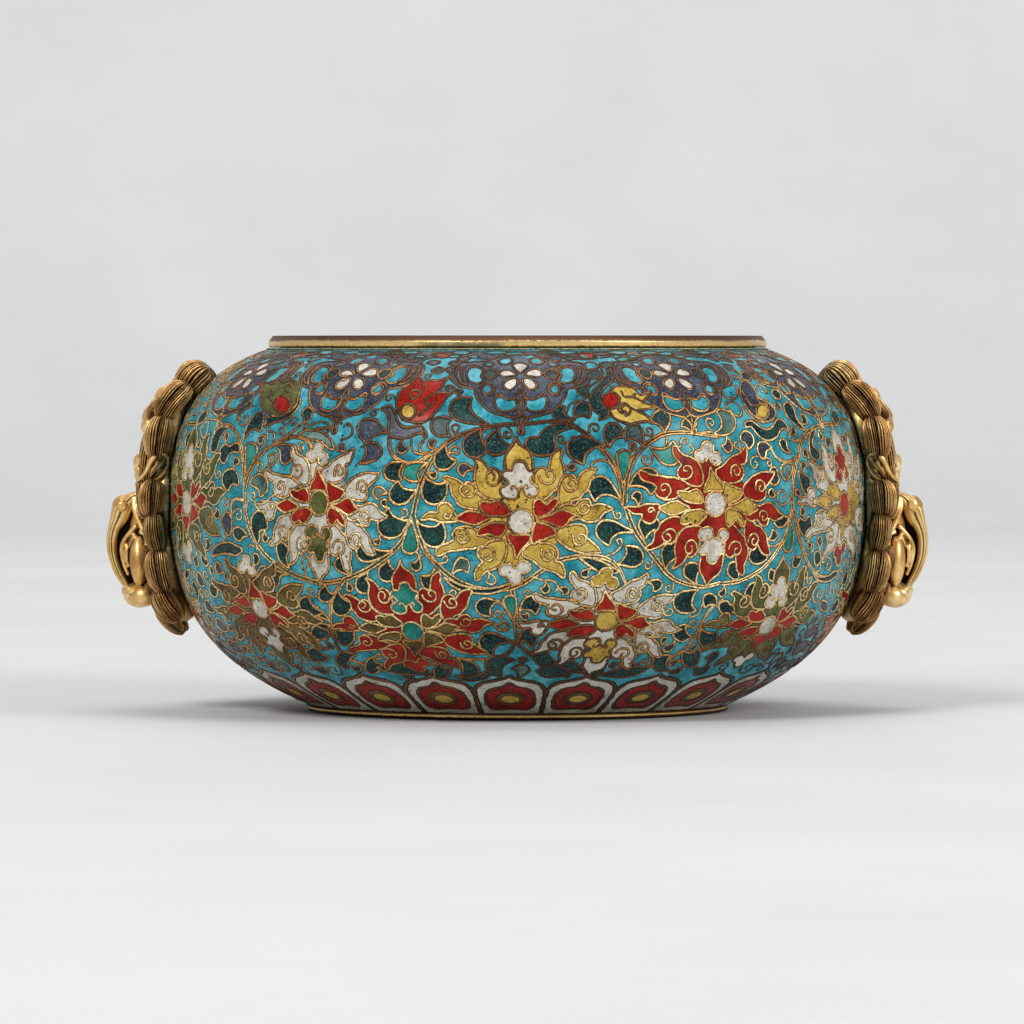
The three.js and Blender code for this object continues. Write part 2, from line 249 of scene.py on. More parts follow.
class Material:
    """A material with one Principled shader, fed by fields made from the object's own coordinates."""

    def __init__(self, name):
        self.data = bpy.data.materials.new(name)
        self.data.use_nodes = True
        self.tree = self.data.node_tree
        self.tree.nodes.clear()
        self.shader = new_node(self.tree, "BsdfPrincipled", {})
        new_node(self.tree, "OutputMaterial", {0: Field(self.shader)})
        self.place = Field(new_node(self.tree, "TexCoord", {}), "Object")

    def noise(self, scale, detail, roughness):
        values = {"Vector": self.place, "Scale": scale, "Detail": detail, "Roughness": roughness}
        return Field(new_node(self.tree, "TexNoise", values), "Fac")

    def axes(self):
        parts = new_node(self.tree, "SeparateXYZ", {0: self.place})
        return [Field(parts, i) for i in range(3)]

    def pits(self, scale, reach, keep):
        """Small round holes of random size: one where it is a hole, nothing elsewhere."""
        cells = new_node(self.tree, "TexVoronoi", {"Vector": self.place, "Scale": scale})
        size = Field(cells, "Color").ramp((1 - keep, 0.0), (1.0, 1.0))
        return Field(cells, "Distance").math("LESS_THAN", size * reach)

    def finish(self, colour, roughness, bump=None, metallic=0.0, specular=0.5):
        """Feeds the shader. A bump is a height, a strength and a depth in metres."""
        values = {"Base Color": colour, "Roughness": roughness, "Metallic": metallic}
        values["Specular IOR Level"] = specular
        if bump:
            height, strength, depth = bump
            relief = new_node(self.tree, "Bump", {"Height": height, "Strength": strength, "Distance": depth})
            values["Normal"] = Field(relief)
        feed(self.shader, values)
        return self.data


def enamel(name, base, light, dark, pit=0.9, fleck=0.0, flecks="7f9a92", speck=0.34):
    """Opaque glass enamel: cloudy colour, small dark pits in clusters, fine scratches and a soft polish."""
    m = Material(name)
    cloud = m.noise(150, 5, 0.65)
    fine = m.noise(900, 4, 0.65)
    colour = cloud.ramp((0.3, dark), (0.47, base), (0.68, light))
    colour = colour.mix(0.35, fine.ramp((0.34, 0.1), (0.6, 1.0)), "MULTIPLY")
    if fleck:
        colour = colour.mix(m.noise(1700, 3, 0.7).ramp((0.56, 0.0), (0.66, 1.0)) * fleck, flecks)
    thick = m.noise(55, 3, 0.6).ramp((0.4, 0.55), (0.66, 1.25))
    small = m.pits(1500, thick * 0.42, speck - 0.06)
    hole = m.pits(620, thick * 0.36, speck).math("MAXIMUM", small)
    colour = colour.mix(hole * pit, (0.012, 0.009, 0.007))
    height = cloud * 0.6 - hole
    return m.finish(colour, fine.ramp((0.3, 0.18), (0.75, 0.4)), (height, 0.4, 0.0002), specular=0.12)


def aged_metal(name, bright, dark, low, high, scale, smooth, rough):
    """Cloudy metal, dark under a low value of the clouds and bright over a high one."""
    m = Material(name)
    fine = m.noise(scale * 14, 4, 0.7)
    colour = m.noise(scale, 6, 0.65).ramp((low, dark), (high, bright))
    colour = colour.mix(0.25, fine.ramp((0.3, (0.25, 0.2, 0.15)), (0.65, 1.0)), "MULTIPLY")
    return m.finish(colour, fine.ramp((0.3, smooth), (0.75, rough)), (fine, 0.3, 0.0002), metallic=1.0)


def wire_gilt():
    """Gilt wire, bright on the belly and browner towards the rim and in random patches, with painted shade
    that darkens it to brown towards the foot.
    """
    m = Material("gilt_wire")
    x, _, z = m.axes()
    band = (z - x.math("ABSOLUTE") * 0.5) * 8.0
    band = band.ramp((0.0, 0.15), (0.36, 0.22), (0.5, 0.55), (0.66, 0.8), (0.92, 1.0))
    # Painted shade: the wires turn dark brown in the lowest rows, towards the foot.
    foot = (z * 8.0).ramp((0.05, 1.0), (0.24, 0.55), (0.34, 0.0))
    patch = m.noise(34, 4, 0.6).ramp((0.38, 0.0), (0.6, 0.46))
    # This adds the band by height, the painted shade at the foot and the random patches.
    tone = band.math("MAXIMUM", foot) * 0.8 + (patch - 0.22)
    colour = tone.ramp((0.1, "ffdf9c"), (0.34, "d9a35a"), (0.58, "8a5a32"), (0.85, "59391f"))
    fine = m.noise(1300, 4, 0.7)
    colour = colour.mix(0.8, fine.ramp((0.4, (0.1, 0.06, 0.04)), (0.56, 1.0)), "MULTIPLY")
    return m.finish(colour, fine.ramp((0.3, 0.24), (0.75, 0.5)), (fine, 0.6, 0.0002), metallic=0.65)


def seam_dirt():
    """Dark dirt and oxide along both sides of every wire."""
    m = Material("wire_seam")
    fine = m.noise(900, 4, 0.7)
    colour = fine.ramp((0.38, "0d0805"), (0.66, "3a2818"))
    return m.finish(colour, fine.ramp((0.3, 0.5), (0.75, 0.8)), (fine, 0.5, 0.0001), specular=0.15)


def rim_gilt():
    """The mouth rim: polished gold on its lower bead, palest along its top edge as a painted highlight,
    painted shade in brown on the bevel above, and green at the joint.
    """
    m = Material("rim_gilt")
    fine = m.noise(1100, 5, 0.7)
    level = (m.axes()[2] - RIM_LOW * MM) * 270.0
    level = level + (fine - 0.5) * 0.5 + (m.noise(26, 5, 0.65) - 0.5) * 0.45
    # Painted light by height: the palest gold is a painted highlight at the top of the bead, and the brown
    # above it is painted shade, a dark reflection on the bevel that faces up.
    stops = [(0.02, "6b6a44"), (0.12, "f0c87c"), (0.46, "ffe09c"), (0.6, "70492c"), (0.9, "54351f")]
    colour = level.ramp(*stops)
    colour = colour.mix(0.45, fine.ramp((0.36, (0.3, 0.22, 0.16)), (0.6, 1.0)), "MULTIPLY")
    green = m.noise(17, 4, 0.6).ramp((0.6, 0.0), (0.68, 0.8))
    colour = colour.mix(green * level.ramp((0.3, 1.0), (0.5, 0.0)), "56593f")
    roughness = level.ramp((0.1, 0.3), (0.5, 0.26), (0.65, 0.5))
    return m.finish(colour, roughness, (fine, 0.35, 0.00015), metallic=0.7)


def foot_gilt():
    """The foot ring: a thin bright line along its upper edge, and painted shade that turns it dark brown
    towards the ground.
    """
    m = Material("foot_gilt")
    fine = m.noise(900, 5, 0.7)
    level = m.axes()[2] * 700.0 + (fine - 0.5) * 0.6
    # Painted shade: near black at the ground, rising to the bright gilt line at the top of the ring's face.
    colour = level.ramp((0.1, "24160c"), (0.5, "4a2f1a"), (0.66, "e0b468"), (0.9, "f6d084"))
    return m.finish(colour, level.ramp((0.4, 0.65), (0.7, 0.3)), (fine, 0.4, 0.00015), metallic=0.8)


def solder():
    """The pale greenish line of solder and corrosion round a joint."""
    m = Material("solder_line")
    fine = m.noise(700, 5, 0.7)
    colour = fine.ramp((0.34, "3c3a26"), (0.5, "8f8f6c"), (0.66, "b4a97c"))
    return m.finish(colour, fine.ramp((0.3, 0.45), (0.75, 0.75)), (fine, 0.6, 0.0002), metallic=0.4)


def cast_gilt(name, tone, brown, dull, light, low=0.22, high=0.8, green=0.8):
    """Fire-gilt bronze: bright where it is rubbed, painted shade in dark brown in the grooves and hollows,
    greenish towards the vessel.
    """
    m = Material(name)
    fine = m.noise(1000, 4, 0.7)
    colour = m.noise(90, 5, 0.65).ramp((0.32, dull), (0.5, tone), (0.7, light))
    # Painted shade: the stored groove value turns the gilt dark brown in grooves and hollows.
    groove = Field(new_node(m.tree, "Attribute", {}, attribute_name="groove"), "Fac")
    deep = (groove + (fine - 0.5) * 0.5).ramp((low, 1.0), (high, 0.0))
    x, _, z = m.axes()
    up = z - BELLY_Z * MM
    wall = BELLY_R * MM - up * up * 9.0
    near = ((x.math("ABSOLUTE") - wall) * 100.0).ramp((0.1, 1.0), (0.62, 0.0))
    spots = m.noise(190, 5, 0.7).ramp((0.34, 0.0), (0.52, 1.0))
    colour = colour.mix(near * (spots * green), "66714c")
    colour = colour.mix(near * m.noise(45, 3, 0.5).ramp((0.46, 0.0), (0.64, 0.6)), "4b3320")
    roughness = fine.ramp((0.3, 0.28), (0.75, 0.5)).mix(deep, 0.7)
    return m.finish(colour.mix(deep, brown), roughness, (fine, 0.35, 0.00015), metallic=0.84)


ENAMELS = {
    "turq": enamel("enamel_turquoise", "2a8794", "60aeb9", "185c66", speck=0.55),
    "green": enamel("enamel_green", "0b2728", "1b443c", "050f10", 0.7, 0.45, speck=0.4),
    "red": enamel("enamel_red", "8c160d", "a82f1f", "5c0c06", speck=0.6),
    "crimson": enamel("enamel_crimson", "840a05", "9c1a0e", "560502", speck=0.5),
    "yellow": enamel("enamel_yellow", "b6963f", "c9ad5c", "7e6226", speck=0.6),
    "white": enamel("enamel_white", "beb8a9", "d4d0c4", "8b8577", speck=0.62),
    "olive": enamel("enamel_olive", "4a4c26", "6c6e3c", "23300f", 0.7, 0.4, "9a9468", 0.45),
    "slate": enamel("enamel_slate", "2f3542", "4b515e", "1a1d26", 0.7, 0.5, "8f98a2", 0.4),
    "bronze": enamel("enamel_umber", "54431f", "77663a", "2c2010", 0.7, 0.4, "a89458", 0.45),
    "teal": enamel("enamel_teal", "1f7468", "3c9384", "124a44", 0.7),
    "sage": enamel("enamel_sage", "4f6a61", "7b958b", "2c423c", 0.7, 0.3, "a9bdb2", 0.35),
}

# The pattern is drawn from back to front as cells of enamel and as wires. Their points are azimuths and
# arc heights. TOP is a fine grid of the wall with the number of the cell on top at each of its points.
GROUND_H = -0.25
LAYER_H = 0.012
WIRE_W = 0.9
FINE_W = WIRE_W * 0.9
THIN_W = WIRE_W * 0.85
GRID = 0.25
ROWS = int((S_MOUTH - S_FOOT) / GRID) + 2
COLUMNS = int(TURN * BELLY_R / GRID)
TOP = np.zeros((ROWS, COLUMNS), dtype=np.int32)
CELLS = []
WIRES = []


def inside(outline, x, y):
    """Which of the points x, y are inside an outline."""
    result = np.zeros(x.shape, dtype=bool)
    for (x0, y0), (x1, y1) in zip(outline, np.roll(outline, -1, axis=0)):
        if y0 != y1:
            result ^= ((y0 > y) != (y1 > y)) & (x < (x1 - x0) * (y - y0) / (y1 - y0) + x0)
    return result


def on_grid(line):
    return np.stack([line[:, 0] * BELLY_R / GRID, (line[:, 1] - S_FOOT) / GRID], axis=1)


def grid_points(line):
    """The rows and columns of TOP nearest to a line's points."""
    at = np.rint(on_grid(line)).astype(int)
    return np.clip(at[:, 1], 0, ROWS - 1), at[:, 0] % COLUMNS


def cell(outline, colour, edge=WIRE_W, layer=2):
    """A cell of enamel, which covers what is under it, with a wire of a width along its edge."""
    CELLS.append((outline, colour, layer))
    g = on_grid(outline)
    low, high = g.min(axis=0).astype(int) - 1, g.max(axis=0).astype(int) + 2
    rows = np.arange(max(0, low[1]), min(ROWS - 1, high[1]) + 1)
    x, y = np.meshgrid(np.arange(low[0], high[0] + 1), rows)
    hit = inside(g, x.astype(float), y.astype(float))
    TOP[y[hit], x[hit] % COLUMNS] = len(CELLS)
    if edge:
        WIRES.append((np.vstack([outline, outline[:1]]), edge, len(CELLS)))


def wire(line, width=FINE_W):
    WIRES.append((line, width, len(CELLS)))


def spline(points, closed=False, step=0.7):
    """A smooth curve through points. One with a third value, which is 1, is a sharp corner."""
    n = len(points)
    at = np.array([p[:2] for p in points], dtype=float)
    sharp = [len(p) > 2 for p in points]
    spans = []
    for i in range(n if closed else n - 1):
        after = (i + 1) % n
        p1, p2 = at[i], at[after]
        p0 = at[i - 1] if closed or i > 0 else p1
        p3 = at[(i + 2) % n] if closed or i + 2 < n else p2
        m1 = (p2 - p1) * 0.8 if sharp[i] else (p2 - p0) / 2
        m2 = (p2 - p1) * 0.8 if sharp[after] else (p3 - p1) / 2
        k = max(2, int(np.linalg.norm(p2 - p1) / step))
        t = (np.arange(k) / k)[:, None]
        start = (2 * t**3 - 3 * t**2 + 1) * p1 + (t**3 - 2 * t**2 + t) * m1
        spans.append(start + (3 * t**2 - 2 * t**3) * p2 + (t**3 - t**2) * m2)
    return np.vstack(spans if closed else spans + [at[-1:]])


class Place:
    """A local drawing frame on the vessel: x along the girth, y up the wall, both in mm."""

    def __init__(self, theta, s, turn=0.0, size=1.0):
        self.theta, self.s, self.turn, self.size = theta, s, turn, size

    def __call__(self, points):
        p = np.asarray(points, dtype=float) * self.size
        c, w = math.cos(self.turn), math.sin(self.turn)
        x = p[:, 0] * c - p[:, 1] * w
        y = p[:, 0] * w + p[:, 1] * c
        s = np.clip(self.s + y, S_FOOT, S_MOUTH)
        stretch = 1 - CROWDING * math.cos(self.theta)
        return np.stack([self.theta + x / radius(s) / stretch, s], axis=1)


# The pattern is drawn in the photograph's own pixels and laid on the vessel through the camera.
EYE = np.array((-1.8, -2250.0, 120.0))
AIM = np.array((-1.8, 0.0, 64.9))
LENS, SENSOR, PIXELS = 240, 36, 1024
FOCAL = LENS / SENSOR * PIXELS
# A plane in front of the vessel, where the search for the skin along a ray of sight begins
IN_FRONT = -130.0


def seen(points):
    """Photo pixels to azimuth and arc height on the skin."""
    p = np.asarray([q[:2] for q in points], dtype=float)
    forward = (AIM - EYE) / np.linalg.norm(AIM - EYE)
    right = np.array((1.0, 0.0, 0.0))
    up = np.cross(right, forward)
    middle = PIXELS / 2
    ray = forward + right * ((p[:, :1] - middle) / FOCAL) + up * ((middle - p[:, 1:2]) / FOCAL)
    near = (IN_FRONT - EYE[1]) / ray[:, 1]
    far = -EYE[1] / ray[:, 1]
    for _ in range(40):
        half = (near + far) / 2
        q = EYE + ray * half[:, None]
        outside = np.hypot(q[:, 0], q[:, 1]) > radius(arc_at(q[:, 2]))
        near = np.where(outside, half, near)
        far = np.where(outside, far, half)
    q = EYE + ray * near[:, None]
    true = np.arctan2(q[:, 0], -q[:, 1])
    theta = true
    for _ in range(12):
        theta = true + CROWDING * np.sin(theta)
    return np.stack([theta, arc_at(q[:, 2])], axis=1)


def laid(points, closed=False, step=1.2):
    """A smooth outline given in photo pixels, laid on the skin."""
    return seen(spline(points, closed, step))


def spread(visible, count=10):
    """Azimuth and height of figures in a row: the visible ones as seen, the others even round the back."""
    front = seen(visible)
    hidden = count - len(front)
    gap = (TURN - front[-1, 0] + front[0, 0]) / (hidden + 1)
    height = front[:, 1].mean()
    return [tuple(q) for q in front] + [(front[-1, 0] + gap * (k + 1), height) for k in range(hidden)]


PERIOD = math.radians(72)


def all_round(draw, line, *args, turns=range(5), **settings):
    """Draws one figure in each of the five periods, or in some of them."""
    for k in turns:
        draw(line + (k * PERIOD, 0), *args, **settings)


# Figures beyond these places in the photo are seen near the left or the right edge.
LEFT_FLANK, RIGHT_FLANK = 312, 722


def turns_of(points):
    """The periods that a figure is drawn in: two near an edge and three in front, which fills the girth."""
    x = sum(p[0] for p in points) / len(points)
    if x < LEFT_FLANK:
        return (0, 2)
    return (0, 3) if x > RIGHT_FLANK else (0, 2, 3)


def ring(place, x, y, across, up, n=28):
    a = np.linspace(0, TURN, n + 1)[:-1]
    return place(np.stack([x + across * np.cos(a), y + up * np.sin(a)], axis=1))


def mirrored(points, axis=521.0):
    return [(2 * axis - p[0], *p[1:]) for p in points]


def points_of(text):
    """The points of an outline, written as "x,y x,y". A sharp corner is written as "x,y,1"."""
    return [tuple(map(float, point.split(","))) for point in text.split()]


def outlines(text):
    """The outlines of a text that has a semicolon between them."""
    return [points_of(part) for part in text.split(";")]


def labelled(text):
    """Outlines that have a colour or another label in front, such as "green: x,y x,y"."""
    parts = [part.split(":") for part in text.split(";")]
    return [(points_of(points), label.strip()) for label, points in parts]


# The blossom in front, drawn in an enlargement whose heart is at HEART, and the mm in one pixel of it.
HEART = (680, 610)
BLOSSOM_SCALE = 0.0471
PETALS_OUT = outlines("""
    575,240 572,180 590,140 615,105 636,72 646,30,1 658,72 690,105 725,125 750,165 758,235 748,330 580,330;
    775,395 764,330 765,288 790,258 815,246 838,254 858,276,1 866,240 876,200 886,160 912,136 942,118,1
    955,150 946,192 965,240 970,300 955,350 925,385 890,415 860,445 810,470 780,440;
    375,370 368,310 378,262 384,228 372,200 355,174,1 388,184 424,202 450,232 468,272,1 490,250 535,275
    546,310 560,345 560,400 570,450 540,462 490,462 440,450 405,420 385,392;
    940,500 925,430 935,370 955,322 985,300 1025,297 1052,334,1 1080,292 1110,264 1150,256 1182,260,1
    1170,295 1150,330 1140,365 1125,400 1092,430 1070,455 1030,465 1000,492 970,512;
    152,328,1 180,305 215,315 268,336 300,362,1 322,344 345,350 370,370 380,410 420,440 440,470 420,500
    390,528 330,522 280,505 250,480 240,450 214,425 212,390 200,355 175,340;
    935,545 950,505 1000,490 1040,500 1070,470 1110,455 1140,468 1150,508,1 1200,489 1250,500 1307,525,1
    1265,540 1230,560 1210,590 1170,610 1120,612 1060,590 1000,600;
    0,592,1 30,570 60,550 122,548,1 122,510 160,485 200,490 225,520 240,560 270,590 240,612 200,612 150,617
    110,602 60,596 20,602;
    915,690 935,650 980,638 1040,625 1090,630 1118,650 1126,684 1116,712,1 1160,748 1195,780 1222,822,1
    1170,817 1120,822 1060,812 1000,790 960,760 925,730;
    105,822,1 115,790 150,765 192,754 232,728,1 216,694 240,660 280,643 330,643 380,660 420,700 480,725
    470,760 390,782 360,792 310,792 260,802 200,807 150,832 120,842;
    735,760 790,748 860,753 905,773 927,808 928,846 908,872,1 952,886 966,920 977,960 962,996,1 930,965
    890,945 840,930 800,905 762,872 722,852 688,832 700,795;
    375,1002,1 368,960 388,920 428,876,1 398,848 388,810 410,778 440,763 480,740 540,728 577,740 587,790
    577,840 562,880 532,910 492,932 450,942 420,972 400,1006
""")
# The hooks inside those petals, each with the end of its coil last.
HOOKS = outlines("""
    798,300 812,336 850,356 890,346 906,310 896,276 870,262 850,276 852,302 872,310;
    546,300 532,345 500,370 465,360 450,325 456,290 480,276 500,290 504,320 488,335;
    960,345 974,385 1000,405 1036,400 1056,375 1050,345 1025,326 1000,340 1002,365 1022,374;
    378,395 364,430 330,446 290,434 270,400 286,370 315,360 336,380 326,406 300,414;
    1060,520 1068,548 1092,560 1126,546 1140,516 1112,492 1086,505 1092,528;
    218,560 196,590 170,586 164,566 184,560 198,573;
    1030,700 1036,750 1070,766 1110,746 1112,710 1086,690 1060,700 1064,724 1084,730;
    245,662 290,655 325,680 330,720 300,750 266,744 255,716 274,700 294,714;
    820,790 815,830 830,860 860,871 890,850 896,820 876,800 850,810 844,834 860,846;
    410,788 450,776 490,795 506,830 490,865 456,870 436,850 448,830 470,838
""")
PETALS_IN = outlines("""
    765,505 770,475 800,455 832,482 852,500,1 876,470 912,450,1 925,480 900,520 870,550 830,572 785,580
    762,550;
    780,597 830,580 880,565 920,540 960,530 1000,546 1052,565,1 1010,590 990,620 960,646 920,640 880,620
    830,605;
    780,612 830,622 880,642 912,682 910,702 870,712 840,727,1 800,735 780,752 755,757 748,720 758,680
    768,640;
    590,690 640,700 700,696 746,700 736,740 700,780 670,820 650,862,1 640,830 630,780 600,740;
    410,478,1 450,474 480,490,1 510,470 546,474 572,500 602,522 607,548 572,573 520,572 470,566 430,546
    405,510;
    238,592,1 280,560 330,540 380,545 430,562 480,582 432,607 380,632 340,627 290,612;
    383,697,1 400,660 440,635 490,620 550,615 578,622 582,652 562,690 532,712 490,700,1 460,690 420,702
""")
TREFOIL = points_of("""
    640,213 672,204 702,214 716,246 735,272 762,272 767,296 745,316 750,346 782,370 792,400 776,432 740,444
    712,430 702,396,1 690,378 672,384 662,410,1 660,440 620,457 570,446 545,420 545,390 570,370 602,354
    590,334 558,310 558,276 590,264 620,270 626,238
""")
TREFOIL_CURLS = outlines("""
    660,440 662,408 648,382 628,368 612,380 622,396;
    706,420 698,396 700,374 716,362 728,378 716,392
""")
TREFOIL_LOW = points_of("""
    605,893 560,900 535,930 545,966 588,982 600,1012 640,1036 686,1021 692,986 684,962 722,955 747,920
    732,885 690,868 658,890 652,922,1 636,920 622,905
""")
BED = points_of("""
    390,560 400,460 520,430 590,400 750,400 900,440 975,560 950,700 880,780 740,810 700,890 590,890 560,790
    470,740 400,680
""")
# Comma leaves: tail, head, radius of the head, side of the barb (T has none) and colour, if not green. They
# are made a little wider than they were drawn.
LEAF_GROWTH = 1.06
LEAVES = """
    489,424 461,409 10.5 R; 451,436 440,426 8.5 R; 447,443 443,461 8.5 L; 482,428 474,446 10.5 L;
    500,427 495,445 9.5 L; 607,446 579,448 11 L; 594,398 583,389 5.5 R; 574,419 583,409 7 R;
    575,420 559,413 6 R; 610,448 613,432 8 R; 644,448 634,432 7.5 L; 624,484 624,457 6.8 T teal;
    664,433 662,418 8 L; 692,435 690,423 6.2 L; 650,446 670,455 9.5 L teal; 628,488 648,479 10.5 R;
    621,501 600,487 10 L; 634,533 607,531 10 L; 617,564 634,557 9 L; 646,541 649,524 8.8 R;
    666,571 672,552 8.8 R; 698,585 692,571 7.6 R; 699,590 684,603 9.5 L; 717,607 710,600 6 L;
    693,637 681,634 7 R; 702,628 708,640 8 L; 498,602 484,607 7.6 L; 514,620 510,602 6.2 T teal;
    519,612 532,604 7.6 R; 513,643 489,643 9 L; 518,642 529,637 7.4 R; 558,663 543,658 7.6 R;
    586,673 568,668 7.2 L; 516,661 495,666 8.6 L; 457,659 470,672 8 R; 452,668 441,673 6.6 R;
    410,519 390,526 11.5 R; 411,520 410,546 7.6 T teal; 416,520 434,536 10.5 L; 393,551 366,552 9.2 R;
    389,560 387,573 8.2 L; 368,572 364,585 8.2 L; 351,576 341,564 6.4 R; 326,584 325,596 6.2 L;
    338,589 341,607 8.4 L; 334,627 346,638 7.4 L; 331,626 320,632 7 L; 434,569 430,582 7.4 R;
    406,462 392,472 8 L; 428,463 411,472 8 L teal; 417,489 399,495 9.2 R; 425,475 434,493 10.8 L;
    358,464 373,451 7.8 L slate; 387,434 368,429 9.8 L slate; 330,622 310,612 7 L; 700,648 690,660 7.2 R;
    672,656 660,664 7 L; 640,664 628,668 6.6 R; 605,668 596,671 5.6 R; 420,668 408,672 6.4 L;
    385,664 372,667 6.6 R; 356,656 343,660 6.6 L
"""
# Stems: the half width at each end and the points.
STEMS = labelled("""
    0.9 2: 520,424 500,425 478,429 456,437 440,449 430,463 421,482 416,500 412,522;
    0.9 2: 520,424 540,422 562,421 578,428 592,439 606,453 616,470 621,486 624,506;
    0.9 2: 720,437 702,434 684,432 664,434 648,443 636,456 629,472 626,490 625,508;
    0.5 0.5: 316,428 332,428;
    2 1.2: 412,516 408,530 398,546 384,558 366,570 345,579 326,583 308,580;
    2 1.3: 413,516 418,532 424,548 436,564 452,578 468,586 486,590 508,589 524,583 540,572 556,562 576,557
    598,557 612,561;
    2 1.2: 626,506 630,520 638,536 648,549 658,562 670,576 686,584 704,587 722,583;
    1.3 0.6: 612,561 620,570 626,584;
    0.9 0.9: 389,436 390,450 397,459 408,463 420,461 430,454;
    1.4 0.7: 344,580 337,590 332,604 330,622 334,640 342,654 356,662 380,667 408,668 436,664 456,658;
    1.8 0.9: 512,590 515,606 516,626 519,644 532,656 552,665 580,673 612,674 644,668 672,658 692,642
    703,622 712,608 724,600;
    1.2 0.7: 516,640 510,652 496,659 474,660 456,658;
    1 0.6: 514,622 506,608 496,600;
    1 2: 214,436 220,427 229,425 236,434 241,448 243,470 244,490 245,512 250,532 262,552 278,566 296,576
    318,583;
    1.8 0.8: 244,490 248,474 255,461 265,450 278,442 292,437 303,438 310,445 314,454;
    0.9 0.6: 264,451 276,442 290,433 301,424 306,418;
    0.7 0.5: 243,500 236,499 231,503 231,514 230,526 224,537;
    1.2 0.8: 330,626 331,600 340,588;
    1.3 1.4: 722,584 738,582 752,576 766,566 777,552 785,538 790,522 793,505 793,488 795,472 799,456
    801,444 806,434 814,428 825,424 838,424;
    1.6 0.8: 794,508 798,530 803,548 809,564 818,575 829,577 841,569;
    0.7 0.8: 771,446 775,455 783,461 792,461 798,455;
    0.6 0.6: 789,432 792,439 797,441 802,437
""")
# Single curled wires.
CURLS = outlines("""
    620,480 616,470 608,462 599,460 592,464 593,469 598,468;
    606,556 616,552 622,545 621,539 617,540 619,545;
    424,546 430,557 438,563 445,563 448,559 445,556 442,560;
    420,534 414,546 420,556 424,552;
    709,597 702,606 699,614 690,618 691,612;
    340,440 350,436 352,428 347,423 343,427;
    302,428 314,423 325,422 330,428 326,433;
    424,440 419,446 421,452 430,452;
    412,436 411,446 416,453 426,454 436,449;
    556,420 566,414 570,404 580,400 588,397;
    585,446 596,447 607,451;
    487,428 481,434 482,441 487,443;
    590,386 598,380 603,372 600,366;
    640,440 634,436;
    690,444 694,450 690,454;
    668,436 667,444 674,448 682,446;
    720,436 712,432 702,432;
    450,600 456,594 453,590 449,593;
    528,598 524,594 527,590 531,593;
    530,576 540,580 552,581 558,587 555,592;
    222,541 227,535 230,528 232,520;
    262,412 266,420 267,432 266,442 260,449;
    267,431 272,432 274,437 272,442;
    247,548 250,545 255,547 259,551;
    302,569 302,560 307,557 309,562 305,569 306,576 313,581;
    268,570 262,566 257,572 256,580;
    238,420 241,412 247,407 256,405;
    222,424 216,420 206,419 197,424;
    248,500 246,512 249,524;
    260,500 266,501 270,497 276,494;
    744,405 749,414 757,420 765,423;
    747,426 752,423 758,428 764,434;
    806,437 812,440 811,430;
    812,460 817,464 822,472;
    800,500 804,504 810,503 815,508;
    768,540 770,546 776,546 783,541;
    803,548 807,554 813,551 814,544;
    812,572 820,570 821,562
""")
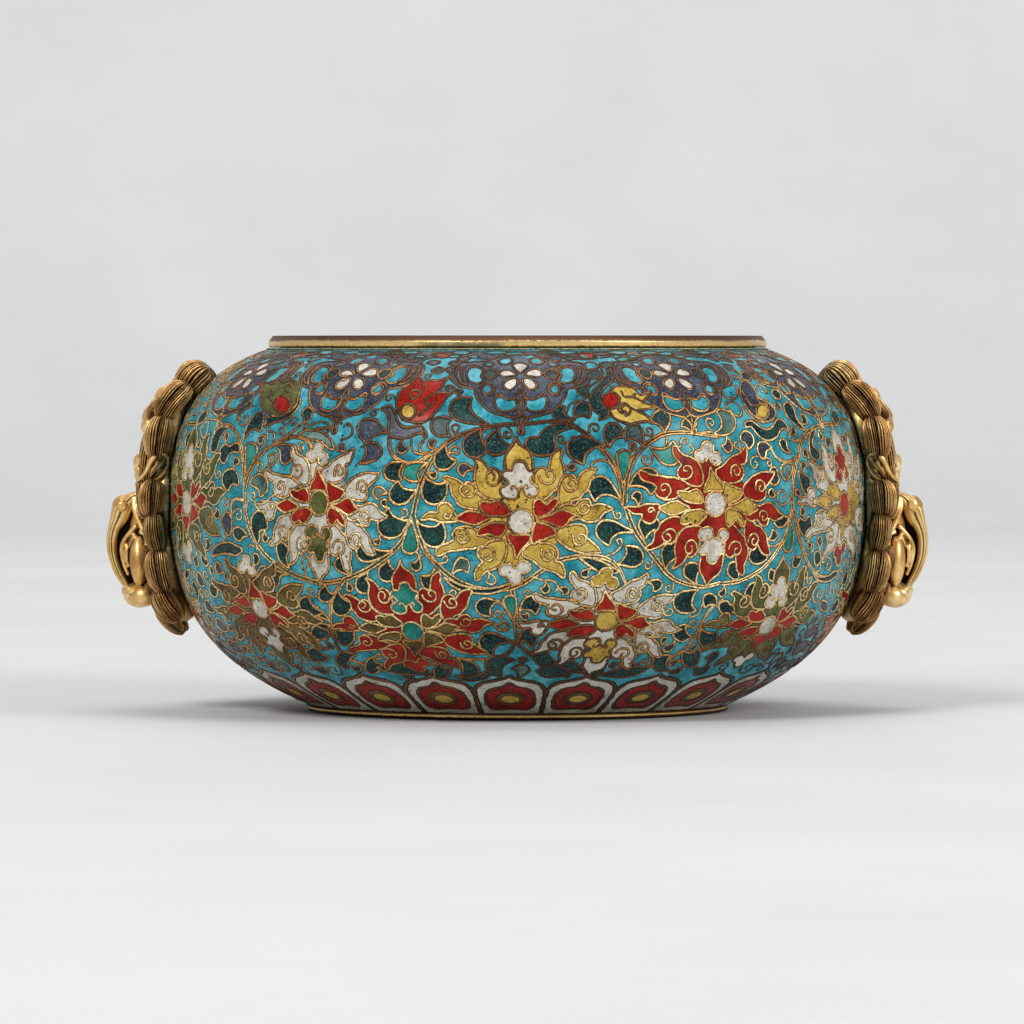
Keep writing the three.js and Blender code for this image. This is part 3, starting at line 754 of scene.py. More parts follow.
# Leaves and little cells seen towards both edges.
FLANK_CELLS = labelled("""
    green: 228,426,1 220,427 214,433 211,442 210,450 214,452 217,448 219,440 223,433;
    green: 238,444 234,443 229,446 225,444 221,447 219,453 220,461 223,464,1 226,460 229,454 233,452
    239,452;
    green: 252,397,1 247,399 242,404 238,411 236,420,1 240,414 245,409 250,406 251,401;
    green: 263,413 257,413 252,418 248,424 244,432 243,440,1 247,434 251,430 256,429 260,431 262,424;
    teal: 246,444 252,443 256,446 256,453 253,460 249,468 245,474,1 245,462 245,452;
    green: 232,469 226,470 222,476 222,483 225,489 228,491,1 230,486 234,484 238,486 238,480 236,473;
    sage: 249,484,1 252,478 258,474 264,476 267,482 267,490 262,496 259,497,1 258,490 254,487;
    green: 300,400 297,408 290,416 282,420 272,423 264,427,1 267,418 276,415 285,412 291,405 297,398;
    green: 302,415 303,410 308,407 312,410 311,416 307,421 304,424 304,419;
    sage: 297,434,1 306,430 316,430 325,434 331,441 334,450,1 328,448 322,443 313,440 304,438;
    slate: 276,447,1 282,444 290,445 294,449 293,456 290,461 284,464 280,461 280,455 279,450;
    green: 258,511 254,513 251,519 251,528 253,536 257,545,1 259,538 259,532 262,530 267,529 266,520
    263,513;
    slate: 226,512 222,517 221,524 224,530 228,536 231,530 231,520 229,514;
    green: 233,529 238,527 243,530 247,536 243,537 239,541 235,539 233,534;
    green: 212,557,1 213,549 219,544 227,542 235,545 242,550 236,556,1 228,554 219,554;
    green: 276,547 280,542 285,545 288,550 286,557 287,563 290,569,1 283,565 278,558;
    green: 271,573 276,571 283,573 288,575,1 280,576 279,582 277,587,1 273,582 271,578;
    green: 299,602 303,597 308,598 311,604 316,609 324,612,1 316,616 308,615 301,610;
    green: 311,632 315,626 322,629 328,631 328,637 320,640 314,638;
    green: 306,652 312,648 317,650 322,655 330,657,1 324,662 314,662 308,658;
    green: 210,584 214,585 217,590 216,597 212,596 209,590;
    slate: 216,562 220,565 222,572 218,574 215,569;
    green: 201,552 205,556 208,563 205,566 201,560;
    green: 197,572 201,576 204,585 200,586 197,580;
    green: 205,600 210,604 214,612 209,612 205,607;
    slate: 216,618 222,622 228,631 222,631 217,625;
    green: 228,640 236,644 244,653 236,652 230,647;
    turq: 200,430 204,424 208,421 207,430 203,438;
    turq: 201,446 206,444 207,452 203,460 199,464;
    sage: 717,411 723,409 731,412 736,420 735,428 729,434 720,435 714,433,1 719,430 722,425 721,418;
    slate: 743,432 748,431 753,436 754,443 749,449 746,443 741,440 741,436;
    slate: 758,446 761,442 766,442 771,446 771,449,1 767,451 766,457 763,459 759,453;
    green: 780,441 784,439 787,442 788,448 792,452,1 787,452 782,448;
    green: 812,431 816,430 813,440 814,446 819,451 821,457 817,460 812,456 810,447 810,437;
    green: 784,405 789,402 794,408 797,418 803,426 806,430,1 800,428 793,422 787,415;
    green: 799,470,1 800,478 802,486 805,493 810,495 811,488 810,478 806,475 802,473;
    green: 800,518 805,521 810,516 812,522 812,531 807,537 802,533 799,526;
    green: 775,512 779,510 782,515 787,517 790,515 788,522 783,527 777,526 773,519;
    teal: 790,520,1 794,530 794,540 792,550 788,552 784,547 786,538 788,530;
    green: 762,542,1 755,546 750,553 750,560 755,564 762,563 768,558 764,553 762,548;
    green: 729,565 734,562 741,564 743,569 739,573 739,579 733,579 728,573;
    green: 771,569 774,571 778,570 780,575 777,580 771,581 769,576;
    green: 756,582,1 750,585 746,591 746,596 752,598 757,594 759,589;
    green: 721,603 727,601 731,605 736,606 734,612 728,616 722,613 719,608;
    green: 815,554 818,551 821,554 821,561 817,566 815,562;
    green: 813,573,1 820,577 828,576 836,571 838,574 832,580 824,582 816,578;
    green: 800,571 806,570 808,576 803,580 800,576;
    sage: 782,466 787,463 793,464 793,470 790,477 786,480 782,474;
    slate: 770,472 773,467 777,468 778,474 780,480 776,485 771,483 769,477;
    slate: 822,601 827,602 828,608 824,612 820,607;
    slate: 812,628 817,626 818,631 812,636 806,638 808,632;
    slate: 796,648 804,642 810,644 803,650 794,656;
    turq: 722,388 728,384 736,386 738,393 734,398 727,397 723,393;
    turq: 726,404 732,401 739,405 742,413 738,416 730,410;
    green: 741,374 746,371 751,375 750,380 744,379;
    green: 772,391 776,389 781,394 780,399 775,397;
    turq: 818,405 823,402 827,410 823,415 818,412;
    green: 832,411 836,412 840,420 837,424 833,419;
    green: 832,437 836,432 840,440 841,449 836,446
""")
# Leaves with a shape of their own.
LONG_LEAVES = outlines("""
    576,427,1 562,423.6 549,427 541,433 538,438 532,437 527,440 525.6,446 533,453.6 543,456 553,453 556,446
    554,440 557,433 566,429;
    578,557,1 590,558 602,562 612,567 620,572,1 606,576 597,571 588,565;
    444,578,1 460,585 480,589 500,587 515,582,1 508,588 490,594 466,592 452,586;
    376,668,1 392,663 412,664 428,671 432,676,1 410,675 392,673;
    600,676,1 616,670 636,667 650,668,1 640,674 622,678;
    455,676,1 468,678 482,674 490,668,1 490,676 478,681 464,681;
    536,672,1 546,666 560,667 572,674,1 560,677 546,678
""")
# Buds: the flame and then its lines. The first two are seen towards the edges.
OLIVE_BUD = outlines("""
    263,385 268,382 273,384 279,378,1 284,382 290,377,1 296,381 302,377,1 300,388 298,396 296,404 288,412
    279,416 270,414 263,408 260,398;
    284,390 290,392 293,387 288,383 284,386;
    272,388 269,396 273,402
""")
SLATE_BUD = outlines("""
    741,384 745,380 751,384 756,391 759,397 764,400 771,404 776,411 775,417 770,421 764,421 757,417 750,411
    744,402 741,393;
    742,390 747,398 752,405 757,404;
    757,395 760,402 766,405 768,400 765,397
""")
LEFT_BUD = outlines("""
    396,405 397.5,397 401,390 407.5,385 413.5,380 418.8,375,1 423,381,1 431,379.4 439,379.8 450,375.6,1
    445,381 442,387 436.5,391.6,1 444,391.6 452,392.6,1 446,397.5 443,402.5 439,407.5 434,413.8 429,418.8
    423.8,421.6 414,422 402,418;
    437,391.5 431,395 425,400 428,405 433,402;
    421,382 424,388 420,392;
    418,416 424,410 432,406
""")
RIGHT_BUD = outlines("""
    612,388 618,385.6 629,386 636,390 641,394.6 652,389.6,1 647,397 642,401.6,1 648,403.6 657,407.4,1
    649,408.6 637,410.4,1 645,414 655,422.6,1 643,421 630,423.6 618,420 610,413 608,400;
    637,410.4 630,407 626,403 620,404 618,409 622,413 627,411;
    642,401 634,397 626,396;
    621,390 624,396 631,397 636,393
""")
FLANK_CALYX = points_of("""
    745,423 750,420 756,423 762,428 769,429 774,425 778,419 784,421 788,427 789,433,1 785,428 781,430
    778,436 772,440 764,439 757,433 752,427 747,427
""")
LEFT_CALYX = points_of("""
    381,409,1 387,413 389,421 388,432 393,437 405,438 413,435 421,433 426,439,1 425,431 420,425 410,427
    402,426 397,420 394,411 390,406 384,406
""")
RIGHT_CALYX = points_of("""
    613,376,1 607,375 600,383 593,391 590,402 594,410 600,415 598,420,1 606,418 609,411 604,406 600,398
    603,389 611,382
""")
# The dark collar under the rim, whose right half is a mirror image, and the plum blossom on it.
SCROLL = points_of("""
    521,434.5 518.5,432 518.5,424 513,418 505,415.6 494,412.5 486,407.5 480,401 476,394 475,388,1 467,387
    459,385 452.5,380 451,373 455,366 463,362 474,361 486,360 497,357 508,354.5 521,354
""")
SCROLL_CELLS = labelled("""
    turq: 466.5,373 469,368 476,366.5 483,370 480.5,375,1 484,380,1 477.5,383 469,380.5;
    turq: 494.5,402 496.5,396.5 502,396.5 508,399 519,398,1 517.5,406 509,411 498.5,409.5;
    turq: 481.5,389 487,383.8 493,388.8 487,394;
    turq: 498.5,360.5 504,357.5 511.5,358 511,362 503,364;
    green: 484,373 488,369 495,369.5 497.5,374 491,378.5 486,377;
    turq: 483.5,363.6 489,361.6 494,363 489,366;
    slate: 455.5,375 457.5,368 462,365.5 461,371 463,379 468,384 460,381.5
""")
SCROLL_LINES = outlines("""
    495,396 499,392.5 503,396 509,399 516,397 520,390;
    521,388 526,398 524,408 521,414 515,417.5 511,416;
    521,388 516,398 518,408 521,414 527,417.5 531,416;
    521,415 521,431;
    461,376 465,366 473,364.5 482,366.5 486,371;
    478,388 484,382.5 491,383 494,389 489,395 482,393.5
""")
PLUM = outlines("""
    512.5,365 515,363 520.5,362.3 525.8,363.6 528,365.6 524,369.6 520.6,372.4 516.4,369.6;
    499.4,372 504,369.4 510,370 517,373.8 511,375.4 504,376 500,374.6;
    542.6,371.6 537.5,368.4 531,369 525,373.4 530,375.6 537.5,376 542,374.6;
    503,383.8 507.5,379.4 515,377.5 517.6,380 516.4,385 511,389 506,388.4;
    537,385 533.8,380.2 528.4,377.8 523,378.6 523.6,384 528.8,388.8 534.4,388.6
""")
RIM_CELLS = labelled("""
    red: 434,354 440,352.6 449,353.6 448,356.5 439,357;
    red: 577.5,354 585,352.2 594,353.4 592,357 583,357.4;
    turq: 585,363 592,361.5 599,366 592,368.6 586,368;
    green: 587,373.5 592,369.4 599,370 601,374 595,378 589,377.4;
    green: 600,364 606,361 613,363.4 607,367.4;
    green: 563,357.5 569,355.6 576,357 570,359.6;
    slate: 548,357.5 555,355 562,357 556,361 549,361;
    green: 432,370 438,366.4 444,368.6 440,372.6 434,372.6;
    slate: 446,369 450,366 454,369 450,372.4;
    green: 449,362.6 454,360 459,362.4 454,365;
    slate: 457,359 464,356 471,357 464,360.6;
    green: 410,359 417,356.6 425,358.6 418,362;
    slate: 427,362 433,359.6 440,361 434,364.4;
    slate: 397,358 402,356 407,358 402,361;
    teal: 616,358 623,356 630,358 623,361
""")
# Hearts of the visible blossoms and scrolls, from left to right in the photo.
MAIN_HEARTS = points_of("186,503 318.5,503 521,522 716,504 845,504")
LOW_HEARTS = points_of("259.5,609 412.4,632 606.4,621.3 768,626")
SCROLL_HEARTS = points_of("253,373 357,374 521,374 673,374 786,373")
# The first letters of the colours of each blossom in a row: its outer and inner petals, its heart and its
# upper and lower trefoils.
MAIN_HUES = "orwww wroow yrwww rywww wyrrr orwww yrwww wroow rywwr yrwww"
LOW_HUES = "brwww rbttr wryyy orwww rbttr wryyy yrwww orwww rywwr wryyy"
HUE_OF = {hue[0]: hue for hue in ("red", "yellow", "white", "olive", "bronze", "teal")}


def blossom(place, hues):
    """Lotus blossom: flame petals with curled hooks, seven inner petals, a round heart and two trefoils."""
    outer, inner, heart, top, bottom = (HUE_OF[letter] for letter in hues)

    def scaled(points):
        k = BLOSSOM_SCALE
        return [((p[0] - HEART[0]) * k, (HEART[1] - p[1]) * k, *p[2:]) for p in points]

    def fill(points, colour, layer, edge=WIRE_W, step=0.7):
        cell(place(spline(scaled(points), True, step)), colour, edge, layer)

    def lines(curves):
        for points in curves:
            wire(place(spline(scaled(points), False, 0.4)))

    fill(BED, outer, 3, 0)
    for petal in PETALS_OUT:
        fill(petal, outer, 3.5)
    lines(HOOKS)
    for petal in PETALS_IN:
        fill(petal, inner, 4.5)
    cell(ring(place, 0, 0, 4.0, 4.0), heart, layer=5)
    fill(TREFOIL, top, 5, step=0.5)
    lines(TREFOIL_CURLS)
    fill(TREFOIL_LOW, bottom, 5, step=0.5)


def comma(tail, head, r, side):
    """Outline of a comma leaf, from its tail on the stem round its head to the barb and back."""
    tail, head = np.array(tail), np.array(head)
    length = np.linalg.norm(head - tail)
    along = (head - tail) / length
    across = np.array((along[1], -along[0])) * (-1 if side == "R" else 1)

    def at(base, size, far, wide):
        return tuple(base + along * size * far + across * r * wide)

    if side == "T":
        half = [(tail, length, 0.5, 0.62), (head, r, 0, 1), (head, r, 0.72, 0.72)]
        left = [at(base, size, far, -wide) for base, size, far, wide in half]
        return [(*tail, 1), *left, at(head, r, 1, 0), *(at(*place) for place in reversed(half))]
    return [
        (*tail, 1),
        at(tail, length, 0.28, -0.42),
        at(head, -min(0.5 * r, 0.3 * length), 1, -0.98),
        at(head, r, 0.35, -0.96),
        at(head, r, 0.88, -0.52),
        at(head, r, 1.02, 0.10),
        at(head, r, 0.76, 0.72),
        at(head, r, 0.20, 1.16),
        (*at(head, r, -0.38, 1.42), 1),
        at(head, r, -0.50, 0.70),
        at(head, -min(1.1 * r, 0.6 * length), 1, 0.18),
        at(tail, length, 0.22, -0.02),
    ]


def sideways(line):
    """The change of azimuth and arc height that makes one mm to the left of each point of a line."""
    r = radius(line[:, 1])
    x, y = np.gradient(line[:, 0]) * r, np.gradient(line[:, 1])
    length = np.hypot(x, y) + 1e-9
    return np.stack([-y / length / r, x / length], axis=1)


def stem(points, start, end):
    """A stem is a thin band of dull enamel between two wires that taper together."""
    middle = laid(points)
    aside = sideways(middle) * (np.linspace(start, end, len(middle)) * 0.33)[:, None]
    for k in turns_of(points):
        sides = [middle + aside + (k * PERIOD, 0), middle - aside + (k * PERIOD, 0)]
        cell(np.vstack([sides[0], sides[1][::-1]]), "teal", 0, layer=1)
        for line in sides:
            wire(line, THIN_W)


# The right side of a lappet and of the tongue on it, in shares of the half width and the height.
LAPPET = [(1, 0.55), (0.98, 0.72), (0.8, 0.84), (0.4, 0.9), (0.12, 0.945)]
TONGUE = [(0.16, 0.165), (0.44, 0.15), (0.62, 0.24), (0.7, 0.44), (0.66, 0.62), (0.48, 0.72), (0.2, 0.76)]


def pointed(place, side, tip, *looks):
    """A cell with a point at its top and the same outline on its left and its right."""
    cell(place(spline(side + [(0, tip, 1)] + mirrored(side[::-1], 0), True, 0.5)), *looks)


def lappets(count=22, top_z=15.2, share=0.94, first=math.radians(-1.8)):
    """The ring of pointed lappets above the foot."""
    tall = arc_at(top_z) - S_FOOT
    low_half = math.pi / count * radius(S_FOOT) * share
    half = math.pi / count * radius(S_FOOT + 0.55 * tall) * share
    white = [(low_half, 0.2, 1)] + [(half * x, tall * y) for x, y in LAPPET]
    red = [(half * x, tall * y) for x, y in TONGUE]
    for i in range(count):
        theta = first + TURN * i / count
        place = Place(theta, S_FOOT)
        pointed(place, white, tall, "white", 1.5, 2)
        pointed(place, red, 0.85 * tall, "crimson", 1.1, 3)
        cell(ring(place, 0, 0.46 * tall, half * 0.4, 0.16 * tall), "bronze", 0.9, 4)
        place = Place(theta, S_FOOT + 0.45 * tall, 0.12 * (i % 3 - 1))
        cell(ring(place, 0.1 * (i % 2), 0, half * 0.28, 0.1 * tall), "yellow", 0.5, 5)


def rim_band():
    """Small close cells of scrollwork that crowd up under the rim."""
    top, low = seen([(517.5, 350.2), (517.5, 357.5)])[:, 1]
    middle = (top + low) / 2
    span = math.radians(18)
    for k in range(20):
        a = np.linspace(k * span, (k + 1) * span, 14)
        wave = np.stack([a, low + 1.1 * np.sin(a * 20)], axis=1)
        cell(np.vstack([np.stack([a, np.full(14, top)], axis=1), wave[::-1]]), "slate", 0, 1)
        wire(wave, THIN_W)
    hues = ("turq", "green", "turq", "slate", "turq", "turq")
    for k in range(60):
        degrees = 6 * k + (1.1 if k % 2 else -0.8)
        height = middle + (1.6 if k % 3 else 0.6)
        place = Place(math.radians(degrees), height, (0.14, -0.1, 0.06)[k % 3])
        cell(ring(place, 0, 0, 3.1 + 0.5 * (k % 2), 1.35 + 0.3 * (k % 3 == 1), 18), hues[k % 6], WIRE_W * 0.8)
        place = Place(math.radians(degrees + 3), middle - 1.7, (-0.2, 0.16)[k % 2])
        cell(ring(place, 0, 0, 1.9, 1.1, 14), hues[(k + 2) % 6], WIRE_W * 0.75)


def scrolls():
    """The dark collars under the rim, each with a plum blossom."""
    shapes = [(SCROLL + mirrored(SCROLL)[::-1][1:-1], "slate", 2)]
    for half, hue in SCROLL_CELLS:
        shapes += [(half, hue, 3), (mirrored(half), hue, 3)]
    cells = [(laid(points, True, 0.8), hue, layer) for points, hue, layer in shapes]
    lines = [laid(points, False, 0.8) for half in SCROLL_LINES for points in (half, mirrored(half))]
    petals = [laid(points, True, 0.8) for points in PLUM]
    axis = seen([(521, 374)])[0][0]
    for theta, _ in spread(SCROLL_HEARTS):
        turn = (theta - axis, 0)
        for outline, hue, layer in cells:
            cell(outline + turn, hue, layer=layer)
        for line in lines:
            wire(line + turn, THIN_W)
        for outline in petals:
            cell(outline + turn, "white", layer=4)


def hook(x, y, r, start, n=26):
    """A line that winds in a little more than once, from an angle in degrees."""
    part = np.linspace(0, 1, n)
    a = np.radians(start - 396 * part)
    q = r * (1 - 0.72 * part)
    return seen(np.stack([x + q * np.cos(a), y + q * np.sin(a)], axis=1))


def bud(shape, hue, ball, ball_hue, turns, curl=None):
    """A bud: a flame with its incised lines and a round ball at its root."""
    flame, *lines = shape
    all_round(cell, laid(flame, True), hue, layer=3, turns=turns)
    all_round(cell, ring(seen, *ball, 24), ball_hue, layer=4, turns=turns)
    if curl is not None:
        all_round(wire, curl, turns=turns)
    for line in lines:
        all_round(wire, laid(line, False, 0.8), turns=turns)


def buds():
    all_round(cell, laid(FLANK_CALYX, True), "green", turns=(0, 3))
    bud(OLIVE_BUD, "olive", (282, 404, 8, 9), "red", (0, 2))
    bud(SLATE_BUD, "slate", (763, 411, 6.5, 8), "yellow", (0, 3))
    usual = ("red", "yellow", "yellow", "red")
    for k, hues in ((0, usual), (2, ("olive", "red", "slate", "yellow")), (3, usual)):
        all_round(cell, laid(LEFT_CALYX, True), "slate", turns=(k,))
        all_round(cell, laid(RIGHT_CALYX, True), "green", turns=(k,))
        bud(LEFT_BUD, hues[0], (408, 411, 7.5, 7.5), hues[1], (k,), hook(414, 395, 7, 20))
        bud(RIGHT_BUD, hues[2], (611, 400, 8.5, 8.5), hues[3], (k,), hook(625, 409, 6.5, 90))


def resample(line, step=0.75):
    """A line's points again, evenly spaced."""
    r = radius(line[:, 1])
    dx = np.diff(line[:, 0]) * (r[:-1] + r[1:]) / 2
    length = np.concatenate([[0], np.cumsum(np.hypot(dx, np.diff(line[:, 1])))])
    at = np.linspace(0, length[-1], max(2, int(length[-1] / step) + 1))
    return np.stack([np.interp(at, length, line[:, 0]), np.interp(at, length, line[:, 1])], axis=1)


PITCH = 2 * GRID


def clearance():
    """Distance in mm from each point of a grid of that pitch to the nearest figure or wire."""
    full = TOP > 0
    for line, _, _ in WIRES:
        full[grid_points(resample(line, 0.3))] = True
    rows, columns = ROWS // 2, COLUMNS // 2
    full = full[: rows * 2, : columns * 2].reshape(rows, 2, columns, 2).any(axis=(1, 3))
    pitch = TURN / columns * radius(S_FOOT + np.arange(rows) * PITCH)
    gap = np.full((rows, columns), 99.0)
    at = np.arange(columns)
    for i in range(rows):
        hit = np.flatnonzero(full[i])
        if len(hit):
            near = np.concatenate([hit - columns, hit, hit + columns])
            k = np.searchsorted(near, at)
            gap[i] = np.minimum(np.abs(near[k] - at), np.abs(near[k - 1] - at)) * pitch[i]
    best = gap.copy()
    for step in range(1, 12):
        best[step:] = np.minimum(best[step:], np.hypot(gap[:-step], step * PITCH))
        best[:-step] = np.minimum(best[:-step], np.hypot(gap[step:], step * PITCH))
    return best, pitch


# A tendril, along and across, that leaves a figure at its tip and rolls up round the middle of a free spot.
TENDRIL = points_of("-1,0 -0.45,0.52 0.25,0.66 0.7,0.2 0.5,-0.42 -0.1,-0.46 -0.26,-0.04 0.06,0.16")


def fill_ground(room, hues):
    """Small leaves and tendrils in the free spots of the ground, each hanging on the figure nearest to it."""
    free, pitch = clearance()
    rows, columns = free.shape
    low, high = (int((arc_at(z) - S_FOOT) / PITCH) for z in (16.0, 114.5))
    spots = np.argsort(-free[low:high].ravel(), kind="stable")[: (free[low:high] >= room).sum()]
    count = 0
    for spot in spots:
        i, j = int(spot) // columns + low, int(spot) % columns
        if free[i, j] < room:
            continue
        reach = min(free[i, j], room * 1.6)
        span = int(reach / PITCH) + 3
        dy, dx = np.mgrid[-span : span + 1, -span : span + 1]
        around = np.clip(i + dy, 0, rows - 1), (j + dx) % columns
        away = np.hypot(dx * pitch[i], dy * PITCH)
        edge = free[around] + 0.02 * away
        edge[away > reach] = 9.0
        k = np.unravel_index(np.argmin(edge), edge.shape)
        a = -np.array([dx[k] * pitch[i], dy[k] * PITCH], dtype=float)
        a /= np.linalg.norm(a) + 1e-9
        n = np.array((-a[1], a[0])) * (1 if (i + j) % 2 else -1)
        place = Place(TURN * j / columns, S_FOOT + i * PITCH)
        r = reach * 0.86
        if count % 3 == 2:
            wire(place(spline([a * u * r + n * w * r for u, w in TENDRIL], False, 0.4)), WIRE_W * 0.8)
        else:
            leaf = comma(-a * r * 1.12, a * r * 0.12, r * 0.56, "L" if n[0] > 0 else "R")
            cell(place(spline(leaf, True, 0.5)), hues[count % len(hues)], FINE_W)
        free[around] = np.minimum(free[around], np.maximum(away - r * 0.8, 0))
        count += 1


def draw_pattern():
    for points, widths in STEMS:
        stem(points, *map(float, widths.split()))
    for points in CURLS:
        all_round(wire, laid(points), THIN_W, turns=turns_of(points))
    for leaf in LEAVES.split(";"):
        tail, head, r, side, *hue = leaf.split()
        points = comma(*points_of(tail), *points_of(head), float(r) * LEAF_GROWTH, side)
        all_round(cell, laid(points, True), *(hue or ["green"]), turns=turns_of(points))
    for points, hue in FLANK_CELLS:
        all_round(cell, laid(points, True, 0.8), hue, turns=turns_of(points))
    for points in LONG_LEAVES:
        all_round(cell, laid(points, True), "green", layer=2.5, turns=turns_of(points))
    lappets()
    rim_band()
    scrolls()
    for points, hue in RIM_CELLS:
        all_round(cell, laid(points, True, 0.8), hue, FINE_W)
    buds()
    for i, ((theta, height), hues) in enumerate(zip(spread(LOW_HEARTS), LOW_HUES.split())):
        blossom(Place(theta, height, size=(0.9, -0.9 if i % 2 == 0 else 0.9)), hues)
    for i, ((theta, height), hues) in enumerate(zip(spread(MAIN_HEARTS), MAIN_HUES.split())):
        across, up = (0.85, 0.98) if i == 1 else (1, 1)
        blossom(Place(theta, height, size=(across, -up if i % 2 else up)), hues)
    fill_ground(3.0, ("green", "green", "slate", "green", "sage"))
    fill_ground(2.1, ("green", "slate", "green", "turq"))


# Pattern to meshes
def slab(outline, layer, depth=0.15, spacing=1.6, margin=0.45):
    """A cell's vertices and faces: a thin closed slab that follows the wall."""
    theta = outline[:, 0].mean()
    r = float(radius(outline[:, 1].mean()))
    flat = np.stack([(outline[:, 0] - theta) * r, outline[:, 1]], axis=1)
    if np.hypot(*(flat[0] - flat[-1])) < 1e-4:
        flat = flat[:-1]
    (left, low), (right, high) = flat.min(axis=0), flat.max(axis=0)
    x, y = np.meshgrid(np.arange(left + 0.8, right - 0.3, spacing), np.arange(low + 0.8, high - 0.3, spacing))
    filling = np.stack([x, y], axis=-1)[inside(flat, x, y)]
    gaps = np.hypot(filling[:, None, 0] - flat[None, :, 0], filling[:, None, 1] - flat[None, :, 1])
    points = [Vector(p) for p in flat.tolist() + filling[gaps.min(axis=1) > margin].tolist()]
    n = len(flat)
    edges = [(i, (i + 1) % n) for i in range(n)]
    found, _, faces, *_ = delaunay_2d_cdt(points, edges, [list(range(n))], 1, 1e-5, True)
    at = np.array([tuple(v) for v in found])
    middles = np.array([at[list(face)].mean(axis=0) for face in faces])
    faces = [face for face, kept in zip(faces, inside(flat, middles[:, 0], middles[:, 1])) if kept]
    s = np.clip(at[:, 1], S_FOOT, S_MOUTH)
    heights = (GROUND_H + LAYER_H * layer, GROUND_H - depth)
    verts = np.vstack([on_wall(theta + at[:, 0] / r, s, h) for h in heights])
    m = len(at)
    borders = dict.fromkeys((a, b) for face in faces for a, b in zip(face, face[1:] + face[:1]))
    closed = [side for face in faces for side in (face, [m + i for i in reversed(face)])]
    return verts, closed + [(b, a, m + a, m + b) for a, b in borders if (b, a) not in borders]


def inlays():
    """One object for each colour of enamel, with all its cells."""
    groups = {}
    for outline, hue, layer in CELLS:
        groups.setdefault(hue, []).append(slab(outline, layer))
    objects = []
    for hue, slabs in groups.items():
        verts, faces, _ = merge(slabs)
        objects.append(new_mesh("inlay_" + hue, verts, faces, [ENAMELS[hue]], smooth=False))
    return objects


# Half of a wire's cross-section: the place across, as a share of the width, and the height. The seam of dirt
# lies outside and the gilt wire inside.
WIRE_SIDE = [(-0.62, -0.12), (-0.62, 0.045), (-0.33, 0.07), (-0.2, 0.19)]
WIRE_SECTION = WIRE_SIDE + mirrored(WIRE_SIDE[::-1], 0)
GILT_FACES = (2, 3, 4)
SHAKE, UNEVEN = 0.07, 0.2


def wire_parts():
    """The stretches of every wire that no later cell covers, a little uneven in width and course."""
    soft = np.exp(-np.linspace(-1.6, 1.6, 5) ** 2)
    soft /= soft.sum()
    dice = np.random.default_rng(11)
    k = len(WIRE_SECTION)
    for line, width, order in WIRES:
        line = resample(line)
        uneven = np.convolve(dice.normal(0, 1, len(line) + 4), soft, "valid")
        shake = np.convolve(dice.normal(0, 1, len(line) + 4), soft, "valid")
        shown = TOP[grid_points(line)] <= order
        ends = np.flatnonzero(np.diff(np.concatenate([[0], shown, [0]])))
        for start, end in zip(ends[::2], ends[1::2]):
            m = end - start
            if m < 2:
                continue
            part = line[start:end]
            aside = sideways(part)
            part = part + aside * SHAKE * shake[start:end, None]
            aside = aside * width * (1 + UNEVEN * uneven[start:end, None])
            rows = []
            for u, h in WIRE_SECTION:
                theta, s = (part + aside * u).T
                rows.append(on_wall(theta, np.clip(s, S_FOOT, S_MOUTH), GROUND_H + h))
            caps = [tuple(range(k))[::-1], tuple(range((m - 1) * k, m * k))]
            kinds = [0 if j in GILT_FACES else 1 for j in range(k)] * (m - 1) + [1, 1]
            yield np.stack(rows, axis=1).reshape(-1, 3), tube_faces(k, m) + caps, kinds


def ground(columns=480, rows=130):
    """The turquoise ground, a closed shell under all the cells."""
    theta = np.tile(np.linspace(0, TURN, columns, endpoint=False), rows)
    s = np.repeat(np.linspace(S_FOOT, S_MOUTH, rows), columns)
    verts = np.vstack([on_wall(theta, s, h) for h in (GROUND_H, -ENAMEL_DEPTH)])
    size = rows * columns
    last = size - columns
    faces = []
    for a, b, c, d in tube_faces(columns, rows):
        faces += [(a, b, c, d), (size + a, size + d, size + c, size + b)]
    for k in range(columns):
        m = (k + 1) % columns
        faces.append((k, size + k, size + m, m))
        faces.append((last + k, last + m, size + last + m, size + last + k))
    return new_mesh("enamel_ground", verts, faces, [ENAMELS["turq"]])


draw_pattern()
skin = ground()
colours = inlays()
wire_verts, wire_faces, wire_kinds = merge(list(wire_parts()))
wires = new_mesh("cloison_wires", wire_verts, wire_faces, [wire_gilt(), seam_dirt()], wire_kinds)
for ob in [skin, wires] + colours:
    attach(ob, "vessel")
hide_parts("enamel_field", "enamel_lappet_band")

# Turned metal pieces
RIM_LOW, RIM_TOP, RIM_R, RIM_BORE, RIM_STEPS = 119.3, 123.0, 82.0, 73.5, 256
COLLAR_R, COLLAR_LOW = 78.3, 113.3
LEDGE_R, LEDGE_Z = 77.0, RIM_TOP - 1.5
rim = lathe(
    "mouth_rim_turned",
    [(RIM_BORE, COLLAR_LOW), (COLLAR_R, COLLAR_LOW), (COLLAR_R, RIM_LOW)]
    + arc(RIM_R - 0.5, RIM_LOW + 0.5, 0.5, -90, 0, 4)
    + arc(RIM_R - 0.35, RIM_LOW + 1.7, 0.35, 0, 62, 4)
    + arc(RIM_R - 1.7, RIM_TOP - 0.5, 0.5, 62, 90, 3)
    + [(LEDGE_R + 0.3, RIM_TOP), (LEDGE_R, RIM_TOP - 0.3), (LEDGE_R, LEDGE_Z), (RIM_BORE, LEDGE_Z)],
    rim_gilt(),
    RIM_STEPS,
)
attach(rim, "vessel")
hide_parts("mouth_rim")
BEAD_R, BEAD_Z, BEAD_SIZE, BEAD_BACK = 82.5, 118.68, 0.26, 80.9
bead_outline = [(BEAD_BACK, BEAD_Z - 0.08)] + arc(BEAD_R, BEAD_Z, BEAD_SIZE, -60, 120, 6)
